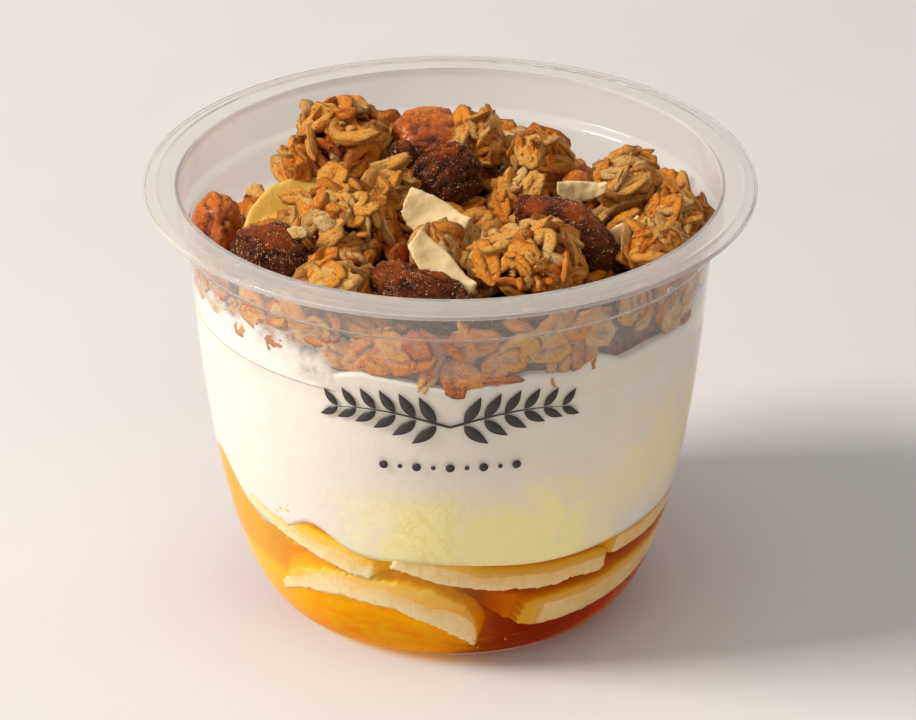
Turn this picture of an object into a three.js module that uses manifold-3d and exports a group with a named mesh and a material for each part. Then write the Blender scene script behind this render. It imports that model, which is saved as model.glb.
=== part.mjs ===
// A clear pot of yogurt parfait: honey with banana slices at the bottom, yogurt above it, and a
// heap of granola, raisins and coconut on top, a little proud of the rim.
//
// Millimetres, +Z up. The pot stands on z = 0 with its axis on x = y = 0 and its front towards -Y.

import * as THREE from 'three';
import { mergeVertices } from 'three/addons/utils/BufferGeometryUtils.js';
import Module from 'manifold-3d';

const wasm = await Module();
wasm.setup();

// The pot's outside, as radii and heights.
const POT_HEIGHT = 74.4;
const BASE_RADIUS = 26.1;
const WAIST_RADIUS = 42.3;
const WAIST_HEIGHT = 52.7;
const SHOULDER_RADIUS = 43.5;
const SHOULDER_HEIGHT = 66.0;
const MOUTH_RADIUS = 45.15;
const LEDGE_HEIGHT = 67.4;
const RIM_RADIUS = 50.5;
const RIDGE_RADIUS = 48.85;
const LIP_DROP = 0.3;
const SKIRT_DEPTH = 1.2;
const BASE_BULGE = 9.7;
const WALL = 0.5;

// Clearance between neighbours, and how finely round things are divided.
const GAP = 0.3;
const AROUND = 36;
const WALL_STEPS = 6;
const HEAP_ROOM = 30;
const FILL_RINGS = 3;
const HONEY_ROWS = 4;
const YOGURT_ROWS = 6;
const BED_ROWS = 6;

// Fillings: levels measured at the wall, and what they rise or fall to at the axis.
const HONEY_LEVEL = 23.4;
const YOGURT_LEVEL = 58.3;
const BED_LEVEL = 66.1;
const BED_MOUND = 4.9;
const BED_INSET = 1.1;

// Sizes of the loose ingredients.
const OAT = { length: 7.6, width: 5.2, thickness: 1.3 };
const BANANA = { length: 41, width: 31, thickness: 4.4 };
const COCONUT_CURL = 0.9;

const LOOKS = {
  plastic: { color: 0xe9eef0, roughness: 0.08, metalness: 0, transparent: true, opacity: 0.25 },
  honey: { color: 0xc8700f, roughness: 0.12, metalness: 0 },
  banana: { color: 0xecd79a, roughness: 0.45, metalness: 0 },
  yogurt: { color: 0xf7f1e4, roughness: 0.35, metalness: 0 },
  granola: { color: 0xb8772f, roughness: 0.6, metalness: 0 },
  raisin: { color: 0x4a1d12, roughness: 0.4, metalness: 0 },
  raisin_amber: { color: 0x9a4311, roughness: 0.35, metalness: 0 },
  coconut: { color: 0xeadfb6, roughness: 0.5, metalness: 0 },
  banana_chip: { color: 0xd8b84a, roughness: 0.45, metalness: 0 },
};

const AXIS_UP = new THREE.Vector3(0, 0, 1);
const pot = new THREE.Group();

// ---------------------------------------------------------------------------------------------
// Solids from geometry and back
// ---------------------------------------------------------------------------------------------

function withoutSlivers(index) {
  const kept = [];
  for (let i = 0; i < index.count; i += 3) {
    const [a, b, c] = [index.getX(i), index.getX(i + 1), index.getX(i + 2)];
    if (a !== b && b !== c && c !== a) kept.push(a, b, c);
  }
  return new Uint32Array(kept);
}

function toSolid(geometry) {
  geometry.deleteAttribute('normal');
  geometry.deleteAttribute('uv');
  const merged = mergeVertices(geometry, 1e-4);
  return new wasm.Manifold(new wasm.Mesh({
    numProp: 3,
    vertProperties: new Float32Array(merged.getAttribute('position').array),
    triVerts: withoutSlivers(merged.index),
  }));
}

// The largest body of a solid, so that a scrap cut loose by a neighbour is dropped.
function largestBody(solid) {
  const bodies = solid.decompose();
  return bodies.reduce((best, body) => (body.volume() > best.volume() ? body : best));
}

function addPiece(name, solid, look) {
  const cut = largestBody(solid).getMesh();
  const geometry = new THREE.BufferGeometry();
  geometry.setAttribute('position', new THREE.BufferAttribute(cut.vertProperties, cut.numProp));
  geometry.setIndex(new THREE.BufferAttribute(cut.triVerts, 1));
  geometry.computeVertexNormals();
  const mesh = new THREE.Mesh(geometry, new THREE.MeshStandardMaterial(LOOKS[look]));
  mesh.name = name;
  pot.add(mesh);
}

// Moves every corner of a geometry by a rule that changes a vector in place.
function reshape(geometry, rule) {
  const position = geometry.getAttribute('position');
  const point = new THREE.Vector3();
  for (let i = 0; i < position.count; i += 1) {
    point.fromBufferAttribute(position, i);
    rule(point);
    position.setXYZ(i, point.x, point.y, point.z);
  }
  return geometry;
}

// A repeatable stream of numbers from 0 to 1.
function seeded(seed) {
  let state = seed;
  return () => {
    state = (state * 1664525 + 1013904223) % 4294967296;
    return state / 4294967296;
  };
}

// ---------------------------------------------------------------------------------------------
// The pot
// ---------------------------------------------------------------------------------------------

const bodyCurve = new THREE.CubicBezierCurve(
  new THREE.Vector2(BASE_RADIUS, 0),
  new THREE.Vector2(BASE_RADIUS + BASE_BULGE, 0),
  new THREE.Vector2(WAIST_RADIUS - 1.6, WAIST_HEIGHT * 0.6),
  new THREE.Vector2(WAIST_RADIUS, WAIST_HEIGHT),
);

// The wall from the edge of the base to the ledge under the rim, set in from the outside.
function wallLine(inset) {
  const line = [];
  for (let i = 0; i <= WALL_STEPS; i += 1) {
    const point = bodyCurve.getPoint(i / WALL_STEPS);
    const along = bodyCurve.getTangent(i / WALL_STEPS);
    line.push(new THREE.Vector2(point.x - along.y * inset, point.y + along.x * inset));
  }
  line.push(new THREE.Vector2(SHOULDER_RADIUS - inset, SHOULDER_HEIGHT + inset * 0.4));
  line.push(new THREE.Vector2(MOUTH_RADIUS - inset, LEDGE_HEIGHT + inset * 0.4));
  return line;
}

function turned(profile) {
  const points = profile.map(([r, z]) => new THREE.Vector2(r, z));
  return new THREE.LatheGeometry(points, AROUND).rotateX(Math.PI / 2);
}

const asPairs = (line) => line.map((point) => [point.x, point.y]);

function potSolid() {
  const underside = POT_HEIGHT - WALL;
  return toSolid(turned([
    [0, 0],
    ...asPairs(wallLine(0)),
    [MOUTH_RADIUS, underside],
    [RIM_RADIUS - WALL, underside - LIP_DROP],
    [RIM_RADIUS - WALL, POT_HEIGHT - SKIRT_DEPTH],
    [RIM_RADIUS, POT_HEIGHT - SKIRT_DEPTH],
    [RIM_RADIUS, POT_HEIGHT - LIP_DROP],
    [RIDGE_RADIUS, POT_HEIGHT],
    [MOUTH_RADIUS - WALL, POT_HEIGHT],
    ...asPairs(wallLine(WALL).reverse()),
    [0, WALL],
  ]));
}

const FILL_INSET = WALL + GAP;
const fillLine = wallLine(FILL_INSET);

// The room inside the pot, with open space above it for the heap.
const room = toSolid(turned([
  [0, FILL_INSET],
  ...asPairs(fillLine),
  [MOUTH_RADIUS - FILL_INSET, POT_HEIGHT + HEAP_ROOM],
  [0, POT_HEIGHT + HEAP_ROOM],
]));

function fillRadius(height) {
  const above = fillLine.findIndex((point) => point.y >= height);
  if (above < 0) return fillLine.at(-1).x;
  if (above === 0) return fillLine[0].x;
  const [low, high] = [fillLine[above - 1], fillLine[above]];
  return THREE.MathUtils.mapLinear(height, low.y, high.y, low.x, high.x);
}

// ---------------------------------------------------------------------------------------------
// Honey, yogurt and the bed of granola
// ---------------------------------------------------------------------------------------------

// Degrees round the pot from its front, positive towards +X.
const bearing = (x, y) => THREE.MathUtils.radToDeg(Math.atan2(x, -y));
const swell = (angle, centre, width) => Math.exp(-(((angle - centre) / width) ** 2));
const ripple = (angle, waves, shift) => Math.sin(THREE.MathUtils.degToRad(angle * waves + shift));
const outward = (x, y) => Math.min(1, Math.hypot(x, y) / SHOULDER_RADIUS);

// Honey creeps up the wall on the left, domes over a slice beside it, and dips to the right.
function honeyTop(x, y) {
  const angle = bearing(x, y);
  const creep = 7.5 * swell(angle, -74, 13) + 5.0 * swell(angle, -36, 9);
  const dip = 2.2 * swell(angle, 25, 24);
  const wave = 0.9 * ripple(angle, 3, 40);
  return HONEY_LEVEL + (creep - dip + wave) * outward(x, y) ** 4;
}

function yogurtTop(x, y) {
  const angle = bearing(x, y);
  const wave = 0.8 * ripple(angle, 6, 20) + 0.5 * ripple(angle, 11, 75);
  return YOGURT_LEVEL + wave * outward(x, y);
}

// The bed is heaped towards the front and leaves the yogurt bare along the back on both sides.
function bedTop(x, y) {
  const reach = outward(x, y);
  const mound = BED_MOUND * Math.cos(reach * Math.PI / 2);
  const bareLeft = 11 * swell(x, -37, 11) * swell(y, 22, 17);
  const bareRight = 8 * swell(x, 28, 12) * swell(y, 33, 10);
  const lumps = 0.8 * Math.sin(x / 3.1) * Math.sin(y / 2.7 + 1);
  return BED_LEVEL + mound - bareLeft - bareRight + lumps;
}

// What fills the pot up to a level: rings across its floor, rows up its side, rings back to the
// axis. The extra makes it a gap higher and wider, to cut the filling that lies on it.
function filling(level, rows, extra = 0) {
  const across = Array.from({ length: FILL_RINGS }, (_, i) => i / FILL_RINGS);
  const up = Array.from({ length: rows + 1 }, (_, i) => i / rows);
  const profile = [
    [0, 0],
    ...up.map((part) => [1, part]),
    ...across.reverse().map((part) => [part, 1]),
  ];
  return toSolid(reshape(turned(profile), (point) => {
    const [x, y] = [point.x * SHOULDER_RADIUS, point.y * SHOULDER_RADIUS];
    point.z = THREE.MathUtils.lerp(FILL_INSET - extra, level(x, y) + extra, point.z);
    const radius = fillRadius(point.z) + extra;
    point.x *= radius;
    point.y *= radius;
  }));
}

// ---------------------------------------------------------------------------------------------
// Loose pieces: each is made at its size, and again a gap larger to cut its neighbours
// ---------------------------------------------------------------------------------------------

function placed(geometry, at, turn = [0, 0, 0]) {
  const [tilt, roll, spin] = turn.map(THREE.MathUtils.degToRad);
  return toSolid(geometry.rotateX(tilt).rotateY(roll).rotateZ(spin).translate(...at));
}

// A rounded lump, such as a raisin or the core of a cluster, with dents that its place seeds.
function lump({ at, size, turn, dent, detail }, extra = 0) {
  const random = seeded(Math.round(Math.abs(at[0] + 7 * at[1] + 13 * at[2]) * 100));
  const waves = [3.1, 4.3, 5.2, 2.4].map((pitch) => [pitch, random() * 6.3, random() - 0.5]);
  const ball = reshape(new THREE.IcosahedronGeometry(1, detail), (point) => {
    const { x, y, z } = point;
    const depth = waves.reduce((sum, [pitch, shift, lean]) => (
      sum + Math.sin(pitch * (x + lean * z) + shift) * Math.cos(pitch * (y - lean * x) - shift)
    ), 0);
    point.multiplyScalar(1 + dent * depth / 2);
  });
  return placed(ball.scale(...size.map((half) => half + extra)), at, turn);
}

// One rolled oat: a thin oval disc, its edge drawn in above.
function oat({ at, facing, spin, scale }, extra = 0) {
  const disc = new THREE.CylinderGeometry(0.72, 1, 1, 6).rotateX(Math.PI / 2);
  disc.scale(
    OAT.length * scale / 2 + extra,
    OAT.width * scale / 2 + extra,
    OAT.thickness + 2 * extra,
  );
  const turn = new THREE.Quaternion().setFromUnitVectors(AXIS_UP, facing);
  return toSolid(disc.rotateZ(spin).applyQuaternion(turn).translate(at.x, at.y, at.z));
}

// A shaving of coconut: a strip that narrows to its ends, curled along and across.
function shaving({ at, turn, length, width }, extra = 0) {
  const strip = new THREE.BoxGeometry(1, 1, 1, 6, 2, 1);
  strip.scale(length + 2 * extra, width + 2 * extra, 1 + 2 * extra);
  reshape(strip, (point) => {
    const along = 2 * point.x / length;
    const taper = 0.35 + 0.65 * Math.cos(Math.min(1, Math.abs(along + 0.2)) * 1.3);
    point.z += COCONUT_CURL * along ** 2 + 0.35 * Math.sin(along * 5 + point.y);
    point.y = point.y * taper + 0.8 * along ** 2;
  });
  return placed(strip, at, turn);
}

// A banana slice: an oval disc, its long side along x before it is turned.
function slice({ at, turn, length, width, thickness }, extra = 0) {
  const disc = new THREE.CylinderGeometry(1, 1, 1, 16).rotateX(Math.PI / 2);
  disc.scale(length / 2 + extra, width / 2 + extra, thickness + 2 * extra);
  return placed(disc, at, turn);
}

const crosses = (solid, others) => others.some((other) => !solid.intersect(other).isEmpty());
const carve = (solid, others) => others.reduce((left, other) => left.subtract(other), solid);
const insideRoom = (solid) => solid.subtract(room).isEmpty();

// ---------------------------------------------------------------------------------------------
// Bottom of the pot: banana slices in honey, under the yogurt
// ---------------------------------------------------------------------------------------------

const oval = { length: BANANA.length, width: BANANA.width, thickness: BANANA.thickness };

const bananaSlices = {
  banana_slice_left: { ...oval, at: [-10.8, -24.4, 8.8], turn: [-44, 0, -28], length: 34, width: 26 },
  banana_slice_left_upper: { ...oval, at: [-15.0, -19.0, 22.2], turn: [9, 13, 12], length: 36 },
  banana_slice_front: { ...oval, at: [5.5, -24.0, 21.8], turn: [14, 14, 10] },
  banana_slice_right: { ...oval, at: [24.0, -9.0, 25.6], turn: [4, -3, 68], length: 36 },
  banana_slice_right_lower: { ...oval, at: [19.0, -12.0, 13.2], turn: [14, -5, 42] },
};

function fillBottom() {
  const cutters = [];
  for (const [name, shape] of Object.entries(bananaSlices)) {
    addPiece(name, carve(slice(shape).intersect(room), cutters), 'banana');
    cutters.push(slice(shape, GAP));
  }
  addPiece('honey', carve(filling(honeyTop, HONEY_ROWS), cutters), 'honey');
  cutters.push(filling(honeyTop, HONEY_ROWS, GAP));
  addPiece('yogurt', carve(filling(yogurtTop, YOGURT_ROWS), cutters), 'yogurt');
}

// ---------------------------------------------------------------------------------------------
// The heap on top
// ---------------------------------------------------------------------------------------------

const coconut = {
  coconut_shaving_back: { at: [-2.6, -12.0, 72.4], turn: [38, 14, -26], length: 11.6, width: 7.4 },
  coconut_shaving_front: { at: [-1.6, -31.4, 73.0], turn: [30, 26, -38], length: 13.6, width: 5.4 },
  coconut_shaving_right: { at: [21.6, -5.6, 74.6], turn: [72, 0, 4], length: 8.6, width: 3.4 },
  coconut_shaving_edge: { at: [28.4, -16.8, 71.2], turn: [62, -32, 20], length: 8, width: 5.5 },
};

const chip = { at: [-23.6, 5.0, 60.4], turn: [52, -12, 8], length: 22, width: 22, thickness: 3.2 };

const raisin = { dent: 0.16, detail: 2 };
const small = { dent: 0.1, detail: 1 };
const raisins = {
  raisin_left: { ...raisin, at: [-28.8, -20.6, 70.2], size: [6.6, 5.4, 5.0], turn: [0, 10, -30] },
  raisin_middle: { ...raisin, at: [-1.0, 3.4, 72.4], size: [6.8, 5.6, 5.6], turn: [0, -24, 20] },
  raisin_long: { ...raisin, at: [18.9, -14.4, 71.4], size: [11.4, 5.0, 4.8], turn: [0, 16, -38] },
  raisin_front: { ...raisin, at: [-3.6, -34.6, 69.0], size: [10.6, 4.9, 5.0], turn: [0, 17, -16] },
  raisin_nested: { ...small, at: [-7.9, 10.4, 73.0], size: [3.4, 3.0, 3.2], turn: [0, 0, 0] },
};
const amberRaisins = {
  raisin_amber_left: { ...raisin, at: [-37.8, -8.4, 69.6], size: [3.8, 4.6, 5.4], turn: [0, 0, 30] },
  raisin_amber_back: { ...raisin, at: [-3.2, 18.8, 73.4], size: [7.2, 5.0, 4.6], turn: [0, 6, 0] },
  raisin_amber_small: { ...small, at: [20.9, 5.0, 70.6], size: [2.8, 2.8, 2.9], turn: [0, 0, 0] },
};

// Clusters of toasted oats: a core, and how many oats show on it.
const clusters = {
  granola_back_left: { at: [-17.6, 17.0, 72.9], size: [9.4, 7.4, 7.6], oats: 11 },
  granola_low_left: { at: [-25.2, 14.0, 69.4], size: [4.4, 4.6, 4.8], oats: 5 },
  granola_left: { at: [-17.6, -10.4, 69.0], size: [9.4, 9.4, 8.0], oats: 12 },
  granola_front_left: { at: [-17.0, -30.0, 70.4], size: [6.2, 5.4, 4.8], oats: 7 },
  granola_middle: { at: [-9.4, -0.6, 71.4], size: [4.6, 4.6, 4.8], oats: 5 },
  granola_centre: { at: [11.4, 1.2, 70.4], size: [4.8, 4.4, 4.4], oats: 5 },
  granola_back: { at: [4.4, 13.4, 73.0], size: [5.6, 5.2, 5.2], oats: 7 },
  granola_back_right: { at: [14.6, 11.6, 71.6], size: [6.8, 6.0, 6.0], oats: 8 },
  granola_rear: { at: [1.0, 28.6, 65.0], size: [8.6, 5.6, 4.2], oats: 4 },
  granola_right: { at: [29.2, 3.4, 71.4], size: [6.8, 6.8, 6.6], oats: 8 },
  granola_far_right: { at: [36.2, -4.2, 67.8], size: [6.2, 7.6, 5.8], oats: 7 },
  granola_front: { at: [12.4, -26.2, 71.2], size: [10.8, 8.0, 6.8], oats: 13 },
  granola_front_right: { at: [32.2, -19.6, 70.8], size: [6.2, 4.8, 4.4], oats: 6 },
  granola_bit: { at: [-1.8, -19.4, 69.6], size: [5.2, 3.8, 4.0], oats: 5 },
};

const CORE = { dent: 0.14, detail: 1, turn: [0, 0, 0] };
const CORE_SHARE = 0.86;
const WALL_OATS = 17;
const WALL_OAT_INSET = 1.35;
const BED_OATS = 15;
const GOLDEN_ANGLE = Math.PI * (3 - Math.sqrt(5));

// A direction spread evenly over a ball, the first ones pointing up.
function spread(index, count) {
  const height = 1 - 1.45 * (index + 0.5) / count;
  const ring = Math.sqrt(1 - height * height);
  return new THREE.Vector3(
    ring * Math.cos(index * GOLDEN_ANGLE),
    ring * Math.sin(index * GOLDEN_ANGLE),
    height,
  );
}

function leaning(direction, random, amount) {
  const nudge = new THREE.Vector3(random() - 0.5, random() - 0.5, random() - 0.5);
  return direction.clone().addScaledVector(nudge, amount).normalize();
}

function oatsOnCluster({ at, size, oats }, random) {
  const centre = new THREE.Vector3(...at);
  const half = new THREE.Vector3(...size).multiplyScalar(CORE_SHARE);
  return Array.from({ length: oats }, (_, i) => {
    const direction = spread(i, oats);
    return {
      at: direction.clone().multiply(half).add(centre),
      facing: leaning(direction, random, 1.1),
      spin: random() * Math.PI,
      scale: 0.8 + 0.35 * random(),
    };
  });
}

// Oats that lie against the wall, the first on the left, and oats scattered over the bed.
function oatsOnBed(random) {
  const atWall = Array.from({ length: WALL_OATS }, (_, i) => {
    const angle = THREE.MathUtils.degToRad(-78 + (i + 0.5 * random()) * 200 / WALL_OATS);
    const height = YOGURT_LEVEL + 2.8 + (i % 2) * 3.0 + random();
    const away = new THREE.Vector3(Math.sin(angle), -Math.cos(angle), 0);
    return {
      at: away.clone().multiplyScalar(fillRadius(height) - WALL_OAT_INSET).setZ(height),
      facing: leaning(away, random, 0.08),
      spin: random() * Math.PI,
      scale: 0.75 + 0.2 * random(),
    };
  });
  const onTop = Array.from({ length: BED_OATS }, (_, i) => {
    const radius = 38 * Math.sqrt((i + 0.5) / BED_OATS);
    const [x, y] = [radius * Math.cos(i * GOLDEN_ANGLE), radius * Math.sin(i * GOLDEN_ANGLE)];
    return {
      at: new THREE.Vector3(x, y, bedTop(x, y) - BED_INSET),
      facing: leaning(AXIS_UP, random, 1.2),
      spin: random() * Math.PI,
      scale: 0.8 + 0.35 * random(),
    };
  });
  return [...atWall, ...onTop];
}

// Joins each oat that is clear of the pot and of every neighbour, and returns the solid with
// the slightly larger one that cuts what is added later.
function withOats(core, cutter, oats, neighbours) {
  let [solid, larger] = [core, cutter];
  for (const shape of oats) {
    const piece = oat(shape);
    if (insideRoom(piece) && !crosses(piece, neighbours) && !piece.intersect(solid).isEmpty()) {
      solid = solid.add(piece);
      larger = larger.add(oat(shape, GAP));
    }
  }
  return { solid, larger };
}

// Lays pieces in turn, each cut by those before it, and adds what cuts the next ones.
function layLoose(shapes, make, look, cutters) {
  for (const [name, shape] of Object.entries(shapes)) {
    addPiece(name, carve(make(shape).intersect(room), cutters), look);
    cutters.push(make(shape, GAP));
  }
}

function heapUp() {
  const random = seeded(7);
  const cutters = [filling(yogurtTop, YOGURT_ROWS, GAP)];
  layLoose(coconut, shaving, 'coconut', cutters);
  layLoose({ banana_chip: chip }, slice, 'banana_chip', cutters);
  layLoose(raisins, lump, 'raisin', cutters);
  layLoose(amberRaisins, lump, 'raisin_amber', cutters);

  const cores = Object.entries(clusters).map(([name, shape]) => ({
    ...CORE, ...shape, name, size: shape.size.map((half) => half * CORE_SHARE),
  }));
  const wideCores = cores.map((core) => lump(core, GAP));
  const bed = carve(filling(bedTop, BED_ROWS, -BED_INSET), [...cutters, ...wideCores]);
  const bedRoom = filling(bedTop, BED_ROWS, GAP - BED_INSET);

  cores.forEach((core, i) => {
    const body = carve(lump(core).intersect(room), cutters);
    const neighbours = [bedRoom, ...cutters, ...wideCores.slice(i + 1)];
    const oats = oatsOnCluster(clusters[core.name], random);
    const cluster = withOats(body, wideCores[i], oats, neighbours);
    addPiece(core.name, cluster.solid, 'granola');
    cutters.push(cluster.larger);
  });
  addPiece('granola_bed', withOats(bed, bed, oatsOnBed(random), cutters).solid, 'granola');
}

addPiece('pot', potSolid(), 'plastic');
fillBottom();
heapUp();

export default pot;
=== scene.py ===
import itertools
import math

import bmesh
import bpy
import numpy as np
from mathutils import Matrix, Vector
from mathutils.bvhtree import BVHTree


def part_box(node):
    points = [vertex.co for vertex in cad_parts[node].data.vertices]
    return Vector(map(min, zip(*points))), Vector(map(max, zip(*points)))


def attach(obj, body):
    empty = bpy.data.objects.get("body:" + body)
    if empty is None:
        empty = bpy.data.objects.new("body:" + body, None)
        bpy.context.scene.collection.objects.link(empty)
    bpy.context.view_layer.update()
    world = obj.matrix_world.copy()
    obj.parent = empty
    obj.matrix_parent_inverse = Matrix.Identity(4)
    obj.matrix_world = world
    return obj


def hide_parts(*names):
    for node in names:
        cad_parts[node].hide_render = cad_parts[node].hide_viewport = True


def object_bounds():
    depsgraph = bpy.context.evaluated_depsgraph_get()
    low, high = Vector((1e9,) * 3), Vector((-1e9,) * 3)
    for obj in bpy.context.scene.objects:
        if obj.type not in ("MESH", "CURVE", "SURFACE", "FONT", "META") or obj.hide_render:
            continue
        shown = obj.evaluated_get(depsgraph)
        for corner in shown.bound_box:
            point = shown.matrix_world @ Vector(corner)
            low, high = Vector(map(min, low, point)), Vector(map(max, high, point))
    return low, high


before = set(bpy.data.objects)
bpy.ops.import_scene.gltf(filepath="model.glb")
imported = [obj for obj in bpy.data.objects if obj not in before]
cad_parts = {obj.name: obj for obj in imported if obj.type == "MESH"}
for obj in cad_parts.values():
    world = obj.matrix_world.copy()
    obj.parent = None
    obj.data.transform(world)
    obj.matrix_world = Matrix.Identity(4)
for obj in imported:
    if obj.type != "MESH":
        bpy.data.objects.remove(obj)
cad_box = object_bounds()

# A clear pot of yogurt parfait on a pale table: banana slices in honey at the bottom, white
# yogurt over them, and a heap of granola, raisins and coconut a little proud of the rim.
#
# Shapes are worked out in millimetres, with the pot's axis on x = y = 0, its base on z = 0 and
# its front towards -Y. Only the meshes, lights and camera are in metres.

MM = 0.001
GOLDEN_ANGLE = math.pi * (3 - math.sqrt(5))
HEAP_TOP = cad_box[1][2] / MM
ABOVE_ALL = 90.0

# The pot's outside, as radii and heights.
POT_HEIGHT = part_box("pot")[1].z / MM
RIM_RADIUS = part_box("pot")[1].x / MM
BASE_RADIUS = 26.1
BASE_BULGE = 9.7
WAIST_RADIUS = 42.3
WAIST_HEIGHT = 52.7
SHOULDER_RADIUS = 43.5
SHOULDER_HEIGHT = 66.0
MOUTH_RADIUS = 45.15
LEDGE_HEIGHT = 67.4
RIDGE_RADIUS = 48.4
SKIRT_DEPTH = 1.2
FOOT_RADIUS = BASE_RADIUS - 3
PUSH_UP_RADIUS = BASE_RADIUS - 4.4
PUSH_UP = 0.5
WALL = 0.5

RIM_DROOP = 0.25
RIDGE_HALF = 0.5
RIDGE_RISE = 0.2
RIM_CORNER = 0.3
FOOT_CORNER = 0.8

# The wall over this height has only loose granola behind it. How much each part of the plastic
# bends light.
FILLED_TO = 62.0
FILLED_BENDING = 1.06
RIM_BENDING = 1.25

# Levels at the wall, and how far each filling reaches into the wall so that no air shows.
HONEY_LEVEL = 23.4
YOGURT_LEVEL = 58.3
YOGURT_OVERLAP = 0.5
FLOOR_OVERLAP = 0.06
HONEY_REACH = 0.08
YOGURT_REACH = 0.12
BANANA_REACH = 0.2
OAT_REACH = 0.22

# How thick the honey is between the wall and each slice: at the slice's lower face, at a bend
# above it, and at its upper face. Then how far above FILM_START the bend is, both as shares of the
# slice's thickness, what the film's wavy edge adds, and how much thicker the slice is than its
# solid.
BANANA_FILM = {
    "banana_slice_left": ((0.0, 0.13, 0.36), 0.45, 0.32, 1.6),
    "banana_slice_left_upper": ((0.0, 0.06, 0.6), 0.6, 0.2, 0.6),
    "banana_slice_front": ((0.0, 0.06, 0.8), 0.6, 0.15, 0.4),
    "banana_slice_right": ((0.0, 0.06, 0.7), 0.6, 0.15, 0.6),
    "banana_slice_right_lower": ((0.02, 0.05, 0.3), 0.7, 0.12, 1.4),
}

FILM_START = 0.06

# How far a slice's edge hangs down along the wall, from which bearing on, and over how many
# degrees the sag sets in.
BANANA_SAG = {"banana_slice_right": (4.4, -180), "banana_slice_front": (-1.8, 12)}
NO_SAG = (0, 0)
SAG_TURN = 26

# A slice is pressed against the wall where it is nearer to it than this.
PRESSED = 0.85
BANANA_PRESSED = {"banana_slice_right_lower": 3.2}

# What the honey's level at the wall gains: how much, at which bearing and how wide, and ripples.
HONEY_SWELLS = ((7.5, -74, 13), (5.0, -36, 9), (-2.2, 25, 24))
HONEY_RIPPLE = 0.9

# Where the granola ends and the yogurt begins round the wall: degrees from the front, height.
GRANOLA_EDGE = (
    (-150, 58.6), (-110, 59.2), (-64, 59.5), (-52, 59.6), (-39, 56.2), (-34, 56.2), (-20, 58.9),
    (-9, 58.0), (1, 56.6), (11, 57.8), (17, 59.0), (28, 57.8), (34, 59.9), (41, 57.4), (49, 57.9),
    (66, 57.0), (100, 58.8), (140, 58.2), (178, 59.0),
)

# How finely each kind of piece is meshed, in millimetres, and in how many rounds it is smoothed.
SOFTNESS = {
    "banana_slice": (0.55, 5), "raisin": (0.32, 10), "coconut": (0.2, 16), "banana_chip": (0.35, 8),
}

# The photographed view.
CAMERA_DISTANCE = 943.5
CAMERA_RISE = 26.94
CAMERA_AIM = 39.4
SENSOR_WIDTH = 36.0
PHOTO_WIDTH = 916
PHOTO_HEIGHT = 720
FOCAL_PIXELS = 5650
AXIS_PIXEL = (450.1, 368.1)


# ---- Numbers: noise, the pot's inner wall, directions

def hashed(cell, seed):
    """A repeatable number from -1 to 1 for each whole-number cell."""
    mixed = cell[..., 0] * 374761393 + cell[..., 1] * 668265263 + cell[..., 2] * 974634777
    mixed = (mixed + seed * 144665) & 0xFFFFFFFF
    mixed = ((mixed ^ (mixed >> 13)) * 1274126177) & 0xFFFFFFFF
    return ((mixed ^ (mixed >> 16)) & 0xFFFFFF) / 0x7FFFFF - 1


def grain(points, size, seed=0):
    """Smooth noise from -1 to 1 whose bumps are about `size` millimetres apart."""
    cell = np.asarray(points) / size
    low = np.floor(cell).astype(np.int64)
    part = cell - low
    part = part * part * (3 - 2 * part)
    total = np.zeros(cell.shape[:-1])
    for corner in itertools.product((0, 1), repeat=3):
        weight = np.prod(np.where(np.array(corner), part, 1 - part), axis=-1)
        total += weight * hashed(low + np.array(corner), seed)
    return total


def unit(vectors):
    """The vectors at a length of 1."""
    return vectors / np.maximum(np.linalg.norm(vectors, axis=-1, keepdims=True), 1e-9)


def wall_line(inset, steps=40):
    """The wall from the edge of the base to the ledge under the rim, as radius and height."""
    ends = np.array([
        (BASE_RADIUS, 0), (BASE_RADIUS + BASE_BULGE, 0),
        (WAIST_RADIUS - 1.6, WAIST_HEIGHT * 0.6), (WAIST_RADIUS, WAIST_HEIGHT),
    ])
    t = np.linspace(0, 1, steps)[:, None]
    line = (
        (1 - t) ** 3 * ends[0] + 3 * t * (1 - t) ** 2 * ends[1]
        + 3 * t ** 2 * (1 - t) * ends[2] + t ** 3 * ends[3]
    )
    along = unit(np.gradient(line, axis=0))
    line = line + inset * np.stack([-along[:, 1], along[:, 0]], axis=1)
    higher = 0.4 * inset
    shoulder = [
        (SHOULDER_RADIUS - inset - 0.15, SHOULDER_HEIGHT - 0.9),
        (SHOULDER_RADIUS - inset, SHOULDER_HEIGHT - 0.2 + higher),
        (SHOULDER_RADIUS - inset + 0.35, SHOULDER_HEIGHT + 0.25 + higher),
    ]
    ledge = [
        (MOUTH_RADIUS - inset - 0.25, LEDGE_HEIGHT - 0.7 + higher),
        (MOUTH_RADIUS - inset, LEDGE_HEIGHT - 0.3 + higher),
    ]
    return np.vstack([line, shoulder, ledge])


INNER_LINE = wall_line(WALL)


def inner_radius(height):
    """How far the pot's inner wall is from its axis at a height."""
    return np.interp(height, INNER_LINE[:, 1], INNER_LINE[:, 0])


def bearing(x, y):
    """Degrees round the pot from its front, positive towards +X."""
    return np.degrees(np.arctan2(x, -y))


def outward(x, y):
    """0 on the pot's axis and 1 at its wall."""
    return np.minimum(1, np.hypot(x, y) / SHOULDER_RADIUS)


def at_wall(degrees, height, out=0.0):
    """A point on the pot's inner wall, moved outwards by `out`."""
    angle, radius = np.radians(degrees), inner_radius(height) + out
    return np.stack([radius * np.sin(angle), -radius * np.cos(angle), height + 0 * angle], axis=-1)


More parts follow.
